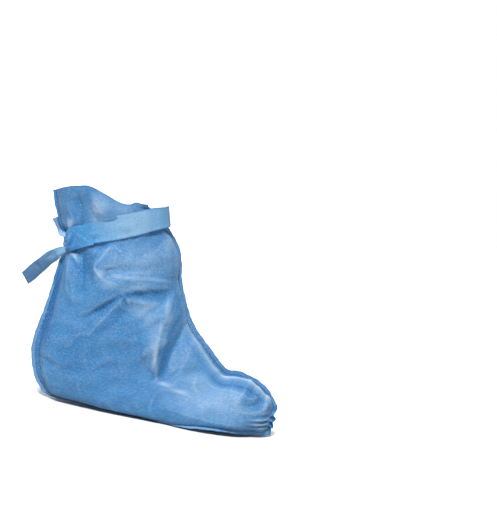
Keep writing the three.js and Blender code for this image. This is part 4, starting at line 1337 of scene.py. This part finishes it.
def clothMaterial(name, look):
    material, tree = newMaterial(name)
    tree.nodes.clear()
    place = readAttribute(tree, "clothPlace", "Vector")
    grain = addNode(tree, "Group", {"Place": place}, node_tree=fibres)
    ownLook = ("base", "pale", "deep", "haze", "grain", "whitening")
    values = {key.capitalize(): look[key] for key in ownLook}
    values.update({key: grain.outputs[key] for key in ("Fibres", "Clouds", "Bonds")})
    for key, attribute in (("Crest", "crest"), ("Tone", "toneAndPaintedLight"), ("Raw edge", "rawEdge")):
        values[key] = readAttribute(tree, attribute)
    colour = addNode(tree, "Group", values, node_tree=tint)
    bump = addNode(tree, "Bump", {"Strength": 0.6, "Distance": look["bump"] * metre,
                                  "Height": grain.outputs["Height"]})
    shader = addNode(tree, "BsdfPrincipled", {
        "Base Color": colour.outputs["Colour"], "Roughness": colour.outputs["Roughness"],
        "Specular IOR Level": 0.35, "Sheen Weight": look["sheen"], "Sheen Roughness": 0.45,
        "Sheen Tint": (0.85, 0.93, 1, 1), "Normal": bump.outputs[0]})
    through = addNode(tree, "BsdfTranslucent", {
        "Color": colour.outputs["Colour"], "Normal": bump.outputs[0]})
    mixed = addNode(tree, "MixShader", {
        0: look["seeThrough"], 1: shader.outputs[0], 2: through.outputs[0]})
    end = addNode(tree, "OutputMaterial")
    tree.links.new(mixed.outputs[0], end.inputs[0])
    return material


threadLook = {
    "whites": ((0.62, 0.74, 0.86, 1), (0.9, 0.94, 0.97, 1)),
    "blue": (0.05, 0.2, 0.42, 1),
    "twist": 900.0,  # size of its grain, as a scale
    "bump": 0.05,
    "roughness": 0.6,
}


def threadMaterial():
    material, tree = newMaterial("seamThread")
    shader = tree.nodes["Principled BSDF"]
    place = readAttribute(tree, "clothPlace", "Vector")
    noise = addNode(tree, "TexNoise", {
        "Vector": place, "Scale": threadLook["twist"], "Detail": 2.0}).outputs[0]
    colour = mixColour(tree, noise, *threadLook["whites"])
    colour = mixColour(tree, readAttribute(tree, "pale"), threadLook["blue"], colour)
    tree.links.new(colour, shader.inputs["Base Color"])
    bump = addNode(tree, "Bump", {
        "Strength": 0.5, "Distance": threadLook["bump"] * metre, "Height": noise})
    tree.links.new(bump.outputs[0], shader.inputs["Normal"])
    shader.inputs["Roughness"].default_value = threadLook["roughness"]
    return material


panelCloth = clothMaterial("panelCloth", panelLook)
tieCloth = clothMaterial("tieCloth", tieLook)
thread = threadMaterial()
print("materials made")

nearPanel, nearSurface = sidePanel("near_panel_cloth", near, nearFolds, nearPaintedLight, panelCloth, seed=5)
farPanel, farSurface = sidePanel("far_panel_cloth", far, farFolds, farPaintedLight, panelCloth, seed=9)
print("side panels made")

bandSurface, bandPlace = tieSurface()
fromKnot = bandPlace[..., 0] / metre
# painted highlight along the middle of the band and painted shade beside the knot
bandPaintedLight = tie["pale"] * np.exp(-((fromKnot - tie["paintedHighlightAt"]) / tie["paintedHighlightReach"]) ** 2)
bandPaintedLight -= tie["deep"] * smoothStep(1 - fromKnot / tie["paintedShadeReach"])
band = gridPiece("tie_band_cloth", bandSurface, bandPlace, tieCloth, tie["thickness"], bandPaintedLight)
knotPoints, knotFaces, knotAttributes = knotMesh()
knotPiece = makePiece("tie_knot_cloth", knotPoints, knotFaces, tieCloth, knotAttributes)
longPiece = gridPiece(
    "tie_long_end_cloth", *ribbonSurface(longEnd, longFolds), tieCloth, ends["thickness"],
    ends["longTone"])
shortPiece = gridPiece(
    "tie_short_end_cloth", *ribbonSurface(shortEnd, shortFolds), tieCloth, ends["thickness"],
    ends["shortTone"])
print("tie made")

frontLines = [seamLine(side, False) for side in (near, far)]
backLines = [seamLine(side, True) for side in (near, far)]
frontStitches = seamStitches("front_seam_stitches", frontLines, thread)
backStitches = seamStitches("back_seam_stitches", backLines, thread)
toeStitches = seamStitches("toe_seam_stitches", [nearSurface[-1], farSurface[-1]], thread)
print("stitches made")

# what each piece stands for
for piece, node, slot in (
        (nearPanel, "near_side_panel", "panel_cloth"), (farPanel, "far_side_panel", "panel_cloth"),
        (band, "tie_band", "tie_cloth"), (knotPiece, "tie_knot", "tie_cloth"),
        (longPiece, "tie_long_end", "tie_cloth"), (shortPiece, "tie_short_end", "tie_cloth")):
    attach(piece, "root")
    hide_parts(node)
for piece in (frontStitches, backStitches, toeStitches):
    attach(piece, "root")

studio = {
    "floorHalf": 8,  # half the floor's side, in metres
    "floorGap": 0.0005,
    "floorRoughness": 0.8,
    "floor": (0.8, 0.81, 0.82, 1),
    "bounce": (0.56, 0.56, 0.56, 1),  # what the floor throws back on the cloth
    "surround": (0.86, 0.94, 1, 1),
    "around": 0.44,  # light from all round
    "behind": 1.0,  # brightness of the backdrop itself
    "key": {"from": (-0.20, -0.72, 0.86), "angle": 14, "power": 4.7, "colour": (1, 0.99, 0.97)},
    "back": {"from": (-0.5, 0.9, 0.8), "angle": 60, "power": 1.2, "colour": (0.97, 0.98, 1)},
}
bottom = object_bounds()[0][2]
floorMesh = bpy.data.meshes.new("studio_floor")
corners = [(x * studio["floorHalf"], y * studio["floorHalf"], 0)
           for x, y in ((-1, -1), (1, -1), (1, 1), (-1, 1))]
floorMesh.from_pydata(corners, [], [(0, 1, 2, 3)])
floor = bpy.data.objects.new("studio_floor", floorMesh)
floor.location.z = bottom - studio["floorGap"]
bpy.context.scene.collection.objects.link(floor)
floorMaterial, floorTree = newMaterial("paleFloor")
floorShader = floorTree.nodes["Principled BSDF"]
floorShader.inputs["Roughness"].default_value = studio["floorRoughness"]
seen = addNode(floorTree, "LightPath").outputs["Is Camera Ray"]
floorColour = mixColour(floorTree, seen, studio["bounce"], studio["floor"])
floorTree.links.new(floorColour, floorShader.inputs["Base Color"])
floorMesh.materials.append(floorMaterial)

world = bpy.data.worlds.new("paleStudio")
bpy.context.scene.world = world
world.use_nodes = True
world.node_tree.nodes.clear()
path = addNode(world.node_tree, "LightPath").outputs["Is Camera Ray"]
strength = addNode(world.node_tree, "MapRange", {0: path, 3: studio["around"], 4: studio["behind"]})
surround = mixColour(world.node_tree, path, studio["surround"], (1, 1, 1, 1))
backdrop = addNode(world.node_tree, "Background", {"Color": surround, "Strength": strength.outputs[0]})
worldEnd = addNode(world.node_tree, "OutputWorld")
world.node_tree.links.new(backdrop.outputs[0], worldEnd.inputs[0])


def addLight(name, values):
    light = bpy.data.lights.new(name, "SUN")
    light.angle = math.radians(values["angle"])
    light.energy = values["power"]
    light.color = values["colour"]
    lamp = bpy.data.objects.new(name, light)
    lamp.location = values["from"]
    lamp.rotation_euler = (-lamp.location).to_track_quat("-Z", "Y").to_euler()
    bpy.context.scene.collection.objects.link(lamp)


for name in ("key", "back"):
    addLight(name, studio[name])

view = {
    "place": (0.056725, -1.580578, 0.352280),
    "aim": (0.169267, 0, 0.220310),
    "roll": 11.05,
    "lens": 85,
}
camera = bpy.data.objects.new("camera", bpy.data.cameras.new("camera"))
camera.data.lens = view["lens"]
camera.location = view["place"]
look = (Vector(view["aim"]) - camera.location).to_track_quat("-Z", "Y")
camera.rotation_mode = "QUATERNION"
camera.rotation_quaternion = look @ Matrix.Rotation(math.radians(view["roll"]), 3, "Z").to_quaternion()
bpy.context.scene.collection.objects.link(camera)
bpy.context.scene.camera = camera
bpy.context.scene.view_settings.view_transform = "Standard"
print("studio made")
